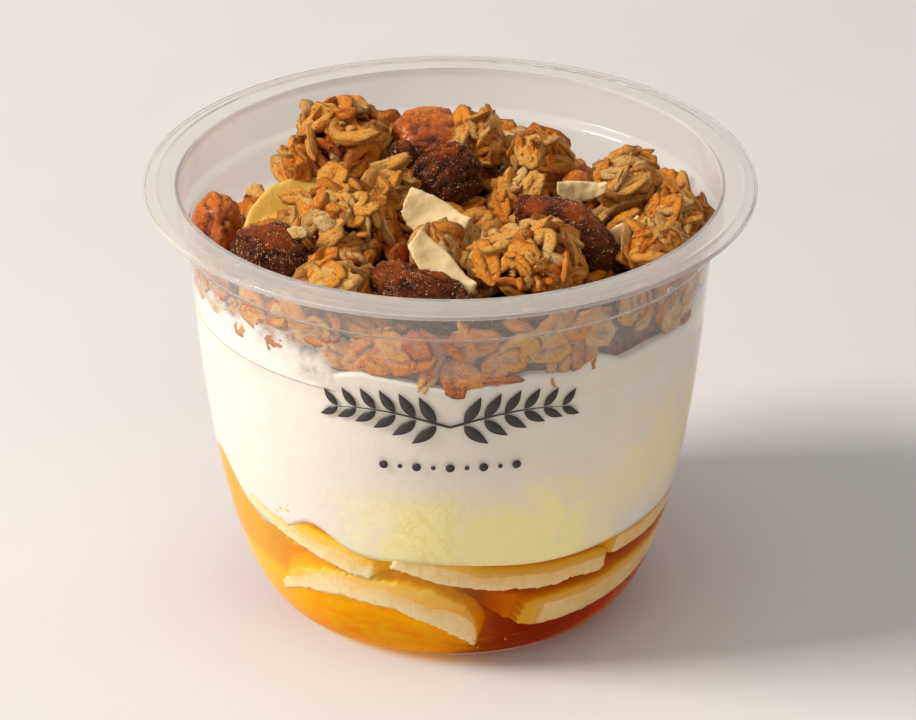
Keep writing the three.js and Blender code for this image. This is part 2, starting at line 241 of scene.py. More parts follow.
def held_in(points, reach=-0.1):
    """The points, with any that lie over the heap or more than `reach` into the wall drawn back."""
    points = np.minimum(points, (np.inf, np.inf, HEAP_TOP))
    radius = np.hypot(points[..., 0], points[..., 1])
    most = inner_radius(points[..., 2]) + reach
    share = np.minimum(1, most / np.maximum(radius, 1e-6))
    return points * np.stack([share, share, np.ones_like(share)], axis=-1)


def turned(directions, spins):
    """Rotation matrices that stand +Z on each direction after a spin about it."""
    up = unit(directions)
    helper = np.where(np.abs(up[:, 2:]) < 0.9, [[0.0, 0.0, 1.0]], [[1.0, 0.0, 0.0]])
    side = unit(np.cross(helper, up))
    front = np.cross(up, side)
    cos, sin = np.cos(spins)[:, None], np.sin(spins)[:, None]
    return np.stack([cos * side + sin * front, cos * front - sin * side, up], axis=2)


def spread(count, lowest=-1.0):
    """Directions spread evenly over a ball, from the top down to a lowest height."""
    height = 1 - (1 - lowest) * (np.arange(count) + 0.5) / count
    ring = np.sqrt(1 - height ** 2)
    angle = np.arange(count) * GOLDEN_ANGLE
    return np.stack([ring * np.cos(angle), ring * np.sin(angle), height], axis=1)


# ---- Meshes

def add_piece(name, points, faces, materials, replaces=(), marks=None, faces_of=None):
    """A smooth mesh that rides with the pot. `marks` are its named values at each point, and
    `faces_of` says which of its materials each face has."""
    mesh = bpy.data.meshes.new(name)
    mesh.from_pydata((np.asarray(points) * MM).tolist(), [], faces)
    for mark, values in (marks or {}).items():
        attribute = mesh.attributes.new(mark, "FLOAT", "POINT")
        attribute.data.foreach_set("value", np.asarray(values, np.float32))
    for material in materials:
        mesh.materials.append(material)
    if faces_of is not None:
        mesh.polygons.foreach_set("material_index", np.asarray(faces_of, np.int32))
    mesh.shade_smooth()
    piece = bpy.data.objects.new(name, mesh)
    bpy.context.scene.collection.objects.link(piece)
    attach(piece, "root")
    if replaces:
        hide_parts(*replaces)
    return piece


def revolved(profile, around):
    """A closed body turned about the axis from a profile that starts and ends on it."""
    rings = np.asarray(profile)[1:-1]
    angle = np.linspace(0, 2 * math.pi, around, endpoint=False)
    x = rings[:, :1] * np.sin(angle)
    y = -rings[:, :1] * np.cos(angle)
    z = np.repeat(rings[:, 1:], around, axis=1)
    points = np.stack([x, y, z], axis=-1).reshape(-1, 3)
    ends = np.array([(0, 0, profile[0][1]), (0, 0, profile[-1][1])])
    return np.vstack([points, ends]), revolved_faces(len(rings), around)


def revolved_faces(rings, around):
    step = np.roll(np.arange(around), -1)
    faces = []
    for ring in range(rings - 1):
        low, high = ring * around, (ring + 1) * around
        faces += np.stack([
            low + np.arange(around), low + step, high + step, high + np.arange(around),
        ], axis=1).tolist()
    first, last = rings * around, rings * around + 1
    top = (rings - 1) * around
    faces += [(first, int(step[i]), i) for i in range(around)]
    faces += [(last, top + i, top + int(step[i])) for i in range(around)]
    return faces


def poured(low, high, reach, around=220, rings=26, rows=26):
    """What fills the pot between two levels, out to its inner wall and `reach` into it."""
    across = np.linspace(0, 1, rings)
    up = np.linspace(0, 1, rows)[1:-1]
    profile = np.vstack([
        np.stack([across, 0 * across], axis=1),
        np.stack([1 + 0 * up, up], axis=1),
        np.stack([across[::-1], 1 + 0 * across], axis=1),
    ])
    points, faces = revolved(profile, around)
    x, y = points[:, 0] * SHOULDER_RADIUS, points[:, 1] * SHOULDER_RADIUS
    bottom, top = low(x, y), high(x, y)
    height = bottom + (top - bottom) * points[:, 2]
    radius = inner_radius(height) + reach
    return np.stack([points[:, 0] * radius, points[:, 1] * radius, height], axis=1), faces


def soft_copy(node, kind):
    """A fine copy of a node with its facets smoothed away, as points in millimetres and faces."""
    voxel, rounds = SOFTNESS[kind]
    copy = bpy.data.objects.new("copy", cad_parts[node].data.copy())
    bpy.context.scene.collection.objects.link(copy)
    remesh = copy.modifiers.new("remesh", "REMESH")
    remesh.mode = "VOXEL"
    remesh.voxel_size = voxel * MM
    smooth = copy.modifiers.new("smooth", "SMOOTH")
    smooth.factor, smooth.iterations = 0.5, rounds
    shape = copy.evaluated_get(bpy.context.evaluated_depsgraph_get()).to_mesh()
    points = np.zeros(len(shape.vertices) * 3)
    shape.vertices.foreach_get("co", points)
    faces = [tuple(face.vertices) for face in shape.polygons]
    bpy.data.objects.remove(copy)
    return points.reshape(-1, 3) / MM, faces


def outward_of(points, faces):
    """Unit normals at the points of a closed mesh."""
    mesh = bpy.data.meshes.new("normals")
    mesh.from_pydata(points.tolist(), [], faces)
    normals = np.zeros(len(mesh.vertices) * 3)
    mesh.vertices.foreach_get("normal", normals)
    bpy.data.meshes.remove(mesh)
    return normals.reshape(-1, 3)


def nodes_named(start):
    return sorted(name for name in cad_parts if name.startswith(start))


def centre_and_half(node):
    """The middle of a node's box and half its sides, in millimetres."""
    low, high = (np.array(corner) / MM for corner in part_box(node))
    return (low + high) / 2, (high - low) / 2


def own_axes(points):
    """The middle of some points, and their own three axes, the longest first."""
    middle = points.mean(axis=0)
    return middle, np.linalg.svd(points - middle, full_matrices=False)[2]


def top_of(node, beside):
    """A function that gives the height of a node's top at places, and `beside` where it has
    none."""
    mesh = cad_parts[node].data
    points = [vertex.co / MM for vertex in mesh.vertices]
    surface = BVHTree.FromPolygons(points, [tuple(face.vertices) for face in mesh.polygons])
    down = Vector((0, 0, -1))

    def height_at(x, y):
        heights = []
        for px, py in zip(np.ravel(x), np.ravel(y)):
            hit = surface.ray_cast(Vector((px, py, ABOVE_ALL)), down)[0]
            heights.append(hit.z if hit else beside)
        return np.reshape(heights, np.shape(x))

    return height_at


class Gathered:
    """Many small closed shapes gathered into one mesh."""

    def __init__(self):
        self.points, self.faces, self.marks, self.kinds, self.count = [], [], {}, [], 0

    def add(self, points, faces, kind=0, **marks):
        """Adds copies of one shape: points are (copies, corners, 3), faces those of one copy."""
        copies, corners = points.shape[:2]
        for copy in range(copies):
            start = self.count + copy * corners
            self.faces += [tuple(start + corner for corner in face) for face in faces]
        self.kinds += [kind] * (copies * len(faces))
        self.points.append(points.reshape(-1, 3))
        for mark, values in marks.items():
            values = np.broadcast_to(values, (copies, corners)).reshape(-1)
            self.marks.setdefault(mark, []).append(values)
        self.count += copies * corners

    def mark_all(self, mark, values_at):
        """Sets a mark from a function that takes every point."""
        self.marks[mark] = [values_at(np.concatenate(self.points))]

    def place(self, name, materials, slot, replaces=()):
        """Makes the piece from all that was added."""
        marks = {mark: np.concatenate(values) for mark, values in self.marks.items()}
        points = np.concatenate(self.points)
        return add_piece(
            name, points, self.faces, materials, replaces, marks, self.kinds,
        )


# ---- Surfaces

class Signal:
    """A value that varies over a surface. Sums and products of signals add shader nodes."""

    def __init__(self, surface, socket):
        self.surface, self.socket = surface, socket

    def math(self, operation, *values, clamp=False):
        sockets = dict(enumerate(values))
        settings = {"operation": operation, "use_clamp": clamp}
        return self.surface.node("Math", settings, sockets)

    def __add__(self, other):
        return self.math("ADD", self, other)

    def __sub__(self, other):
        return self.math("SUBTRACT", self, other)

    def __rsub__(self, other):
        return self.math("SUBTRACT", other, self)

    def __mul__(self, other):
        return self.math("MULTIPLY", self, other)

    def held(self):
        """The value kept between 0 and 1."""
        return self.math("ADD", self, 0.0, clamp=True)

    def rise(self, start, end):
        """0 up to `start`, 1 from `end` on, smooth between."""
        settings = {"interpolation_type": "SMOOTHSTEP"}
        return self.surface.node("MapRange", settings, {0: self, 1: start, 2: end, 3: 0.0, 4: 1.0})

    __radd__, __rmul__ = __add__, __mul__


def tone(text):
    """A colour written as six hex digits, as the linear values that shaders take."""
    parts = [int(text[i:i + 2], 16) / 255 for i in (0, 2, 4)]
    return tuple(c / 12.92 if c <= 0.04045 else ((c + 0.055) / 1.055) ** 2.4 for c in parts)


def sunk_light(share, reach, scale):
    """The constants of a surface that light sinks into: for what share of it, and how far red,
    green and blue reach, as multiples of `scale` millimetres."""
    return {
        "Subsurface_Weight": share, "Subsurface_Radius": reach, "Subsurface_Scale": scale * MM,
    }


class Surface:
    """A material and its Principled shader. Colours are six hex digits or linear values."""

    def __init__(self, name, **constants):
        self.material = bpy.data.materials.new(name)
        self.material.use_nodes = True
        self.tree = self.material.node_tree
        self.shader = self.tree.nodes["Principled BSDF"]
        self.output = self.tree.nodes["Material Output"]
        self.set(**constants)

    def feed(self, socket, value):
        """Links a signal to a socket, or sets the socket to a value."""
        if isinstance(value, Signal):
            self.tree.links.new(value.socket, socket)
        elif socket.type == "RGBA":
            colour = tone(value) if isinstance(value, str) else value
            socket.default_value = (*colour, 1)
        else:
            socket.default_value = value

    def set(self, **values):
        """Feeds the Principled shader's sockets, named with _ for each space."""
        for socket, value in values.items():
            self.feed(self.shader.inputs[socket.replace("_", " ")], value)

    def node(self, kind, settings=(), sockets=(), out=0):
        """A new node with its settings, its fed sockets, and one of its outputs as a signal."""
        made = self.tree.nodes.new("ShaderNode" + kind)
        for setting, value in dict(settings).items():
            if setting == "stops":
                self.set_stops(made.color_ramp, value)
            else:
                setattr(made, setting, value)
        for socket, value in dict(sockets).items():
            self.feed(made.inputs[socket], value)
        return Signal(self, made.outputs[out])

    @staticmethod
    def set_stops(ramp, stops):
        while len(ramp.elements) < len(stops):
            ramp.elements.new(1.0)
        for element, (place, colour) in zip(ramp.elements, stops):
            element.position = place
            element.color = (*tone(colour), 1)

    def mark(self, name):
        """A value that the mesh holds at each point."""
        return self.node("Attribute", {"attribute_name": name}, out=2)

    def place(self):
        """Where a point is, in metres."""
        return self.node("TexCoord", out=3)

    def along(self, axis):
        """Millimetres from the pot's axis along X (0) or Y (1), or up from the table (2)."""
        return self.node("SeparateXYZ", (), {0: self.place()}, out=axis) * (1 / MM)

    def noise(self, size, detail=3.0, rough=0.5, twist=0.0, stretch=(1, 1, 1)):
        """Soft noise from 0 to 1 with bumps about `size` millimetres apart."""
        place = self.place()
        if stretch != (1, 1, 1):
            place = self.node("VectorMath", {"operation": "MULTIPLY"}, {0: place, 1: stretch})
        return self.node("TexNoise", (), {
            "Vector": place, "Scale": 1 / (size * MM), "Detail": detail,
            "Roughness": rough, "Distortion": twist,
        })

    def ramp(self, value, *stops):
        """A colour that goes from stop to stop as the value rises."""
        return self.node("ValToRGB", {"stops": stops}, {0: value})

    def mix(self, share, first, second):
        """The first colour with a share of the second mixed in."""
        return self.node("Mix", {"data_type": "RGBA"}, {0: share, 6: first, 7: second}, out=2)

    def layered(self, colour, *layers):
        """A colour with others laid over it, each for its share."""
        for share, over in layers:
            colour = self.mix(share, colour, over)
        return colour

    def bump(self, height, depth):
        """A normal from a height of 0 to 1 that stands for `depth` millimetres."""
        return self.node("Bump", (), {"Height": height, "Distance": depth * MM, "Strength": 1.0})

    def finished(self, colour, roughness, relief=None, depth=0.0):
        """The material with its colour, its roughness and a relief of some millimetres."""
        self.set(Base_Color=colour, Roughness=roughness)
        if relief is not None:
            self.set(Normal=self.bump(relief, depth))
        return self.material

    def body(self):
        return Signal(self, self.shader.outputs[0])

    def clouded(self, share, **cloud):
        """The clear body with a share of a cloudy one mixed in."""
        sockets = {socket.replace("_", " "): value for socket, value in cloud.items()}
        cloudy = self.node("BsdfPrincipled", (), sockets)
        return self.node("MixShader", (), {0: share, 1: self.body(), 2: cloudy})

    def lets_light_pass(self, body):
        """The material, with lamps and soft light going straight through its body."""
        clear = self.node("BsdfTransparent")
        for ray in ("Is Diffuse Ray", "Is Shadow Ray"):
            share = self.node("LightPath", out=ray)
            body = self.node("MixShader", (), {0: share, 1: body, 2: clear})
        self.feed(self.output.inputs["Surface"], body)
        return self.material


def clear_plastic(name, bending, tints):
    """Clear below, and a little milky towards the rim, where the plastic is rubbed and thicker.
    `bending` is how much it bends and mirrors light, and `tints` are what it lets through."""
    surface = Surface(name, Transmission_Weight=1.0, IOR=bending, Roughness=0.02)
    cloud = surface.noise(9, detail=2)
    flow = surface.noise(14, detail=1, stretch=(1, 1, 0.4))
    surface.set(Base_Color=surface.mix(cloud, *tints), Normal=surface.bump(flow, 0.05))
    up = surface.along(2)
    scuffed = surface.noise(1.2, detail=4, rough=0.7) * 0.06
    milky = up.rise(54, 62) * 0.18 + up.rise(72.4, 73.6) * (0.1 + scuffed)
    tint = surface.mix(cloud, "C8C1B8", "D6D0C8")
    return surface.lets_light_pass(surface.clouded(milky, Base_Color=tint, Roughness=0.4))


HONEY_DEPTH = (0.996, 0.93, 0.0)
HONEY_DENSITY = 1150.0


def honey_syrup():
    """Clear syrup that reddens with depth, with an amber cloud in it that is thickest at the left
    and near the base; the cloud's colour holds painted light, paler at the lit left, and painted
    shade, darker to the right."""
    surface = Surface(
        "honey_syrup", Transmission_Weight=1.0, IOR=1.08, Roughness=0.03, Specular_IOR_Level=0.0,
    )
    swirl = surface.noise(9, detail=3, twist=1.2)
    surface.set(Base_Color=surface.mix(swirl, "FFE9B8", "FFF3D2"))
    streak = surface.noise(5, detail=4, twist=1.5, stretch=(1, 1, 1.8))
    streaked = streak.rise(0.3, 0.7)
    rightward = surface.along(0) + (streak - 0.5) * 14
    # Masks for the lit left and the shaded right, which the cloud's colour paints as light and shade.
    lit_left, right = 1 - rightward.rise(-34, -18), rightward.rise(-4, 10)
    low = 1 - surface.along(2).rise(11, 16)
    domed = surface.along(2).rise(25.5, 27.5) * surface.along(0).rise(-27, -24)
    # Painted light and shade: the cloud is paler amber at the lit left and darker red-brown to the
    # right, away from the lamp.
    cloud = surface.layered(
        surface.mix(streaked, "FFB02C", "FFCE5A"),
        (low, surface.mix(streaked, "FA9800", "FFBA10")),
        (right, "B84A04"),
        (1 - rightward.rise(-36, -20), "FFC04A"),
        (domed * streak.rise(0.35, 0.6), "A8682C"),
    )
    share = 0.3 - right * 0.08 + lit_left * 0.42 + low * (1 - right) * 0.5 + (swirl - 0.5) * 0.2
    body = surface.clouded(share.held(), Base_Color=cloud, Roughness=0.5, Specular_IOR_Level=0.0)
    depth = surface.node("VolumeAbsorption", (), {"Color": HONEY_DEPTH, "Density": HONEY_DENSITY})
    surface.feed(surface.output.inputs["Volume"], depth)
    return surface.lets_light_pass(body)


def yogurt_cream():
    """White, with a yellow patch low at the front and up the right that is partly a stain of syrup
    and partly painted glow of light through the honey, and thin veins.
    """
    surface = Surface(
        "yogurt_cream", IOR=1.4, Specular_IOR_Level=0.1, **sunk_light(0.3, (1.0, 0.8, 0.55), 4),
    )
    white = surface.mix(surface.noise(9, detail=3), "E5DBCC", "EAE2D5")
    wander = (surface.noise(11, detail=4, twist=1.2) - 0.5) * 22
    across, up = surface.along(0) + wander, surface.along(2)
    low = 1 - (up + wander * 0.5).rise(27, 42)
    middle = low * across.rise(-22, -4) * (1 - across.rise(12, 32))
    up = up + wander
    patch = across.rise(20, 34) * up.rise(22, 33) * (1 - up.rise(36, 48)) * 0.6
    # Partly a stain of syrup and partly painted glow: the patch is paler and warmer than the white,
    # as light coming up through the honey makes it.
    stain_and_glow = (middle * 1.3 + patch).held() * (1 - surface.along(1).rise(0, 30))
    cloudy = 0.7 + surface.noise(6, detail=4, twist=1.0) * 0.5
    lines = surface.noise(6.5, detail=2, rough=0.6, twist=2.4) - 0.5
    vein = 1 - (lines.math("ABSOLUTE", lines) * 18).held()
    leftward = 1 - surface.along(0).rise(2, 14)
    vein = vein * surface.noise(6.0, detail=1, twist=0.5).rise(0.44, 0.6) * stain_and_glow * leftward
    colour = surface.layered(
        white, ((stain_and_glow * cloudy).held(), "FFEBA6"), ((vein * 0.24).held(), "DDB648"),
    )
    wet = 0.26 + surface.noise(3, detail=2) * 0.14
    return surface.finished(colour, wet, surface.noise(2.2, detail=3), 0.12)


def banana_flesh():
    """Cream flesh, amber where a film of honey lies over it, and with painted shade, darker amber
    towards the right.
    """
    surface = Surface(
        "banana_flesh", IOR=1.4, Specular_IOR_Level=0.1, **sunk_light(0.3, (1.0, 0.75, 0.35), 3),
    )
    fibre = surface.noise(0.9, detail=3, stretch=(1, 1, 0.25))
    soaked = surface.noise(4, detail=4, twist=0.8) * 0.6 + surface.mark("film") * 2.5
    colour = surface.layered(
        surface.mix(surface.noise(2.6, detail=4), "F0D698", "F8E6BC"),
        (fibre.rise(0.5, 0.7) * 0.4, "DDB058"),
        (soaked.rise(0.25, 0.65) * 0.7, "EDC06C"),
        # Painted shade: darker amber towards the right, away from the lamp.
        (surface.along(0).rise(-12, 12) * 0.35, "DBA252"),
    )
    return surface.finished(colour, 0.32 + fibre * 0.2, surface.noise(0.8, detail=3), 0.12)


def toasted_oat():
    """Glazed flakes: pale and golden where they stand out, and darkened by painted shade where they
    lie deep in a clump and in their creases.
    """
    surface = Surface("toasted_oat", IOR=1.45, Specular_IOR_Level=0.25)
    mottle = surface.noise(1.9, detail=5, rough=0.7)
    crumb = surface.noise(0.42, detail=4, rough=0.75)
    deep, crease = surface.mark("deep"), surface.mark("crease")
    colour = surface.layered(
        surface.ramp(
            surface.mark("toast") + (mottle - 0.5) * 0.8, (0.0, "962E00"), (0.16, "D86810"),
            (0.34, "FA9022"), (0.55, "FFA83C"), (0.78, "FFBE60"), (1.0, "FFD690"),
        ),
        # Partly speckled glaze, and partly painted shade and painted highlight: darker in the dips of
        # the fine crumb relief and paler on its peaks.
        ((1 - crumb.rise(0.37, 0.45)) * 0.6, "7E2600"),
        (crumb.rise(0.54, 0.62) * 0.45, "FFCC7C"),
        # Painted shade: darker where an oat lies deep in its clump and near black deepest, and dark
        # in each flake's crease and the core's hollows. The crease mark also holds the darker toasted
        # edge.
        (deep.rise(0.2, 0.75) * 0.5, "B45008"),
        (crease.rise(0.08, 0.85) * 0.85, "6E1A00"),
        (deep.rise(0.36, 0.8) * 0.96, "280300"),
    )
    glaze = 0.2 + surface.noise(1.2, detail=3) * 0.35
    return surface.finished(colour, glaze, crumb + surface.noise(1.3, detail=2) * 0.8, 0.8)


def baked_crumb():
    """Dark glaze and crumbs that hold the oats together, darkened further by painted shade in hollows
    and deep inside a clump.
    """
    surface = Surface("baked_crumb", IOR=1.45, Specular_IOR_Level=0.12)
    # Painted shade: darker in the core's hollows, and darker the deeper it lies inside the clump.
    shade = surface.noise(1.1, detail=5, rough=0.75) - surface.mark("crease") * 0.25
    shade = shade - surface.mark("deep").rise(0.1, 1.0) * 0.25
    colour = surface.ramp(
        shade, (0.1, "200300"), (0.26, "681A00"), (0.4, "C05A08"), (0.52, "F49430"),
        (0.66, "FFC878"),
    )
    relief = surface.noise(0.7, detail=5, rough=0.8)
    return surface.finished(colour, 0.35 + shade * 0.3, relief, 0.9)


def raisin_skin():
    """Dark brown, with painted shade black in the folds and painted light amber on top, and dusted
    with sugar.
    """
    surface = Surface(
        "raisin_skin", IOR=1.5, Specular_IOR_Level=0.12, Coat_Weight=0.05, Coat_Roughness=0.15,
        **sunk_light(0.1, (1.0, 0.2, 0.05), 1.5),
    )
    painted_top_light = surface.mark("high") + (surface.noise(2.4, detail=3) - 0.5) * 0.8
    speck = surface.noise(0.4, detail=4, rough=0.85).rise(0.57, 0.64)
    dusty = surface.noise(3.0, detail=3).rise(0.36, 0.62)
    colour = surface.layered(
        surface.mix(surface.noise(3.4, detail=3), "341003", "6A2C06"),
        # Painted light: amber on top, where the light falls. Painted shade: near black in the folds.
        (painted_top_light.rise(0.72, 1.1) * 0.85, "A2460C"),
        ((1 - surface.mark("fold")).rise(0.35, 0.95) * 0.8, "1C0402"),
        (speck * (0.2 + dusty * 0.6), "A86830"),
    )
    relief = surface.noise(0.5, detail=4, rough=0.8)
    return surface.finished(colour, 0.2 + speck * 0.3, relief, 0.6)


def amber_skin():
    """Red-brown with painted shade in the folds, amber between them, and painted light paler amber on
    top.
    """
    surface = Surface(
        "amber_skin", IOR=1.5, Specular_IOR_Level=0.3, Coat_Weight=0.2, Coat_Roughness=0.15,
        **sunk_light(0.2, (1.0, 0.35, 0.06), 2),
    )
    painted_top_light = surface.mark("high") + (surface.noise(2.4, detail=3) - 0.5) * 0.8
    speck = surface.noise(0.6, detail=4, rough=0.75).rise(0.56, 0.68)
    colour = surface.layered(
        surface.mix(surface.noise(2.0, detail=4), "7E2800", "DE7010"),
        # Painted shade: darker in the folds. Painted light: paler amber on top, where the light
        # falls.
        ((1 - surface.mark("fold")).rise(0.25, 0.9), "5A1600"),
        (painted_top_light.rise(0.7, 1.15) * 0.7, "E88414"),
        (speck * 0.3, "D08A42"),
    )
    relief = surface.noise(0.7, detail=4, rough=0.75)
    return surface.finished(colour, 0.22 + speck * 0.3, relief, 0.6)


def sugar_grain():
    surface = Surface("sugar_grain", IOR=1.5)
    shade = surface.noise(0.8, detail=1)
    colour = surface.ramp(shade, (0.36, "4A2008"), (0.52, "946030"), (0.68, "F0CF98"))
    return surface.finished(colour, 0.25)


def coconut_flesh():
    surface = Surface("coconut_flesh", IOR=1.4, **sunk_light(0.5, (1.0, 0.85, 0.55), 2))
    fibre = surface.noise(1.2, detail=4, stretch=(1, 1, 0.3))
    colour = surface.mix(fibre, "CBA970", "E8CE9E")
    return surface.finished(colour, 0.35 + fibre * 0.2, surface.noise(0.7, detail=3), 0.08)


def dried_banana():
    surface = Surface("dried_banana", IOR=1.4, **sunk_light(0.4, (1.0, 0.7, 0.2), 2))
    colour = surface.layered(
        surface.mix(surface.noise(3.0, detail=3), "C4942C", "DFB454"),
        (surface.noise(0.7, detail=2).rise(0.68, 0.76) * 0.5, "8A6A2C"),
    )
    dull = 0.4 + surface.noise(1.5) * 0.2
    return surface.finished(colour, dull, surface.noise(1.0, detail=4), 0.15)


def printed_ink():
    surface = Surface("printed_ink", IOR=1.45)
    worn = surface.noise(0.5, detail=3)
    return surface.finished(surface.mix(worn, "2A2422", "3A3330"), 0.35 + worn * 0.15)


def table_top():
    surface = Surface("table_top", Specular_IOR_Level=0.3)
    colour = surface.mix(surface.noise(90, detail=4, twist=0.6), "D4CFCB", "DDD8D4")
    return surface.finished(colour, 0.5 + surface.noise(25) * 0.15)


def air_bubble():
    surface = Surface("air_bubble", Transmission_Weight=0.55, IOR=1.25)
    colour = surface.mix(surface.noise(1.5), "F2B347", "FFDE94")
    surface.finished(colour, 0.05 + surface.noise(2.0) * 0.1)
    return surface.lets_light_pass(surface.body())


def water_drop():
    surface = Surface("water_drop", Transmission_Weight=1.0, IOR=1.33)
    colour = surface.mix(surface.noise(2), "F4F6F7", "FFFFFF")
    surface.finished(colour, 0.02 + surface.noise(2) * 0.03)
    return surface.lets_light_pass(surface.body())


def smeared_cream():
    """Yogurt that thins out in wisps towards the edges of a smear."""
    surface = Surface("yogurt_smear", Specular_IOR_Level=0.1)
    wisps = surface.noise(7, detail=4, rough=0.6, twist=0.6, stretch=(1, 1, 1.5))
    fade = (1 - surface.mark("edge")) * 1.35 + (wisps - 0.5) * 1.5
    surface.set(Alpha=(fade.rise(0.35, 1.0) * 0.95).held())
    return surface.finished(surface.mix(surface.noise(3), "EEE6DA", "F7F1E7"), 0.35)


# ---- Oats: flakes, curled flakes, sticks and crumbs

# A flake's rings of corners as shares of its size, how many corners each has, how dark its edge is
# glazed, how deep its crease may be, and how far apart shapes are set in the noise.
FLAKE_RINGS = (0.3, 0.56, 0.78, 0.92, 1.0)
FLAKE_AROUND = 16
EDGE_GLAZE = 0.6
DEEPEST_CREASE = 0.6
NOISE_SPAN = 900


def flake_grid():
    """The corners of a round disc with two sides, as ring share, angle and side, and its faces."""
    n = FLAKE_AROUND
    angle = np.linspace(0, 2 * math.pi, n, endpoint=False)
    top = [(0, 0, 1)] + [(r, a, 1) for r in FLAKE_RINGS for a in angle]
    under = [(0, 0, -1)] + [(r, a, -1) for r in FLAKE_RINGS[:-1] for a in angle]
    start = len(top)
    rim = 1 + (len(FLAKE_RINGS) - 1) * n
    faces = []
    for i in range(n):
        j = (i + 1) % n
        faces.append((0, 1 + i, 1 + j))
        faces.append((start, start + 1 + j, start + 1 + i))
        for ring in range(len(FLAKE_RINGS) - 1):
            low, high = 1 + ring * n, 1 + (ring + 1) * n
            faces.append((low + i, high + i, high + j, low + j))
            under_high = rim if ring == len(FLAKE_RINGS) - 2 else start + high
            faces.append((start + low + j, under_high + j, under_high + i, start + low + i))
    return np.array(top + under), faces


FLAKE_CORNERS, FLAKE_FACES = flake_grid()


def curled(points, bend):
    """Bends each shape across its y, with `bend` as turn for each millimetre."""
    k = np.where(np.abs(bend) < 1e-3, 1e-3, bend)[:, None]
    x, y, z = points[..., 0], points[..., 1], points[..., 2]
    angle = y * k
    return np.stack([
        x, np.sin(angle) / k - z * np.sin(angle), (1 - np.cos(angle)) / k + z * np.cos(angle),
    ], axis=-1)


def elsewhere(random, count):
    """A place in the noise for each of `count` shapes, so that no two are alike."""
    return random.uniform(-NOISE_SPAN, NOISE_SPAN, (count, 1, 3))


def flakes(random, length, width, thick, bend):
    """Oats of the given sizes, lying flat at the origin, and a mark for each point that holds painted
    shade by how deep it lies in a crease and the darker glaze of its edge.
    """
    count = len(length)
    ring, angle, side = FLAKE_CORNERS.T
    u, v = ring * np.cos(angle), ring * np.sin(angle)
    wave = random.uniform(0, 2 * math.pi, (count, 4, 1))
    edge = (
        1 + 0.06 * np.sin(3 * angle + wave[:, 0]) + 0.05 * np.sin(5 * angle + wave[:, 1])
        + 0.05 * np.sin(7 * angle + wave[:, 2])
    )
    narrow = 1 - random.uniform(-0.05, 0.28, (count, 1)) * u
    x = length[:, None] / 2 * u * edge
    y = width[:, None] / 2 * v * edge * narrow
    body = np.sqrt(np.maximum(0, 1 - ring ** 4))
    crease = np.exp(-(v / 0.15) ** 2) * np.maximum(0, 1 - u ** 2) * (side > 0)
    lips = np.exp(-((np.abs(v) - 0.32) / 0.16) ** 2) * np.maximum(0, 1 - u ** 2)
    depth = random.uniform(0.15, DEEPEST_CREASE, (count, 1))
    z = side * thick[:, None] / 2 * body * (1 + 0.35 * lips) - depth * crease
    points = np.stack([x, y, z], axis=-1)
    offset = elsewhere(random, count)
    points[..., 2] += 0.3 * grain(points + offset, 1.9, 3)
    points += 0.2 * np.stack([grain(points + offset, 0.85, seed) for seed in (5, 6, 7)], axis=-1)
    points = curled(points, bend)
    sway = random.uniform(-0.1, 0.1, count)
    points = curled(points[..., [1, 0, 2]], sway)[..., [1, 0, 2]]
    return points, np.maximum(crease * (depth / DEEPEST_CREASE), EDGE_GLAZE * ring ** 8)


def ball(detail):
    """A round ball's corners and faces."""
    made = bpy.data.meshes.new("ball")
    shape = bmesh.new()
    bmesh.ops.create_icosphere(shape, subdivisions=detail, radius=1)
    shape.to_mesh(made)
    shape.free()
    points = np.array([vertex.co for vertex in made.vertices])
    faces = [tuple(face.vertices) for face in made.polygons]
    bpy.data.meshes.remove(made)
    return points, faces


CRUMB_POINTS, CRUMB_FACES = ball(2)


def crumbs(random, size):
    """Rough crumbs of the given sizes at the origin."""
    stretch = random.uniform(0.5, 1.35, (len(size), 1, 3))
    points = CRUMB_POINTS[None] * stretch
    bulge = 1 + 0.6 * grain(points + elsewhere(random, len(size)), 0.8, 9)
    return points * bulge[..., None] * size[:, None, None] / 2


def laid(points, matrices, places):
    """Copies turned by their matrices and moved to their places."""
    return np.einsum("nij,nkj->nki", matrices, points) + places[:, None]


def tilted(directions, random, amount):
    """The directions, each leaning by chance."""
    return unit(directions + amount * random.normal(0, 0.5, directions.shape))


# Kinds of oat: share of all, length, width, thickness, bend for each millimetre, how far they
# lean from lying flat.
OAT_KINDS = (
    (0.48, (6.2, 9.0), (4.2, 6.0), (1.0, 1.5), (-0.06, 0.20), 0.65),
    (0.18, (5.4, 7.6), (4.2, 5.6), (1.0, 1.4), (0.28, 0.52), 0.9),
    (0.14, (5.0, 8.0), (2.2, 3.2), (1.2, 1.8), (-0.1, 0.3), 0.8),
    (0.20, (2.6, 4.4), (2.2, 3.6), (1.0, 1.8), (-0.1, 0.4), 1.2),
)


def strew(gathered, random, places, directions, toast=(0.2, 0.85), lean=1.0):
    """Lays oats of every kind at the places, facing the directions."""
    shares = np.array([kind[0] for kind in OAT_KINDS])
    chosen = random.choice(len(OAT_KINDS), len(places), p=shares / shares.sum())
    for number, (_, length, width, thick, bend, tilt) in enumerate(OAT_KINDS):
        mine = np.flatnonzero(chosen == number)
        if not len(mine):
            continue
        sizes = [random.uniform(*span, len(mine)) for span in (length, width, thick, bend)]
        points, crease = flakes(random, *sizes)
        facing = tilted(directions[mine], random, tilt * lean)
        matrices = turned(facing, random.uniform(0, 2 * math.pi, len(mine)))
        points = held_in(laid(points, matrices, places[mine]), OAT_REACH)
        shade = random.uniform(*toast, (len(mine), 1))
        gathered.add(points, FLAKE_FACES, toast=shade, crease=crease)


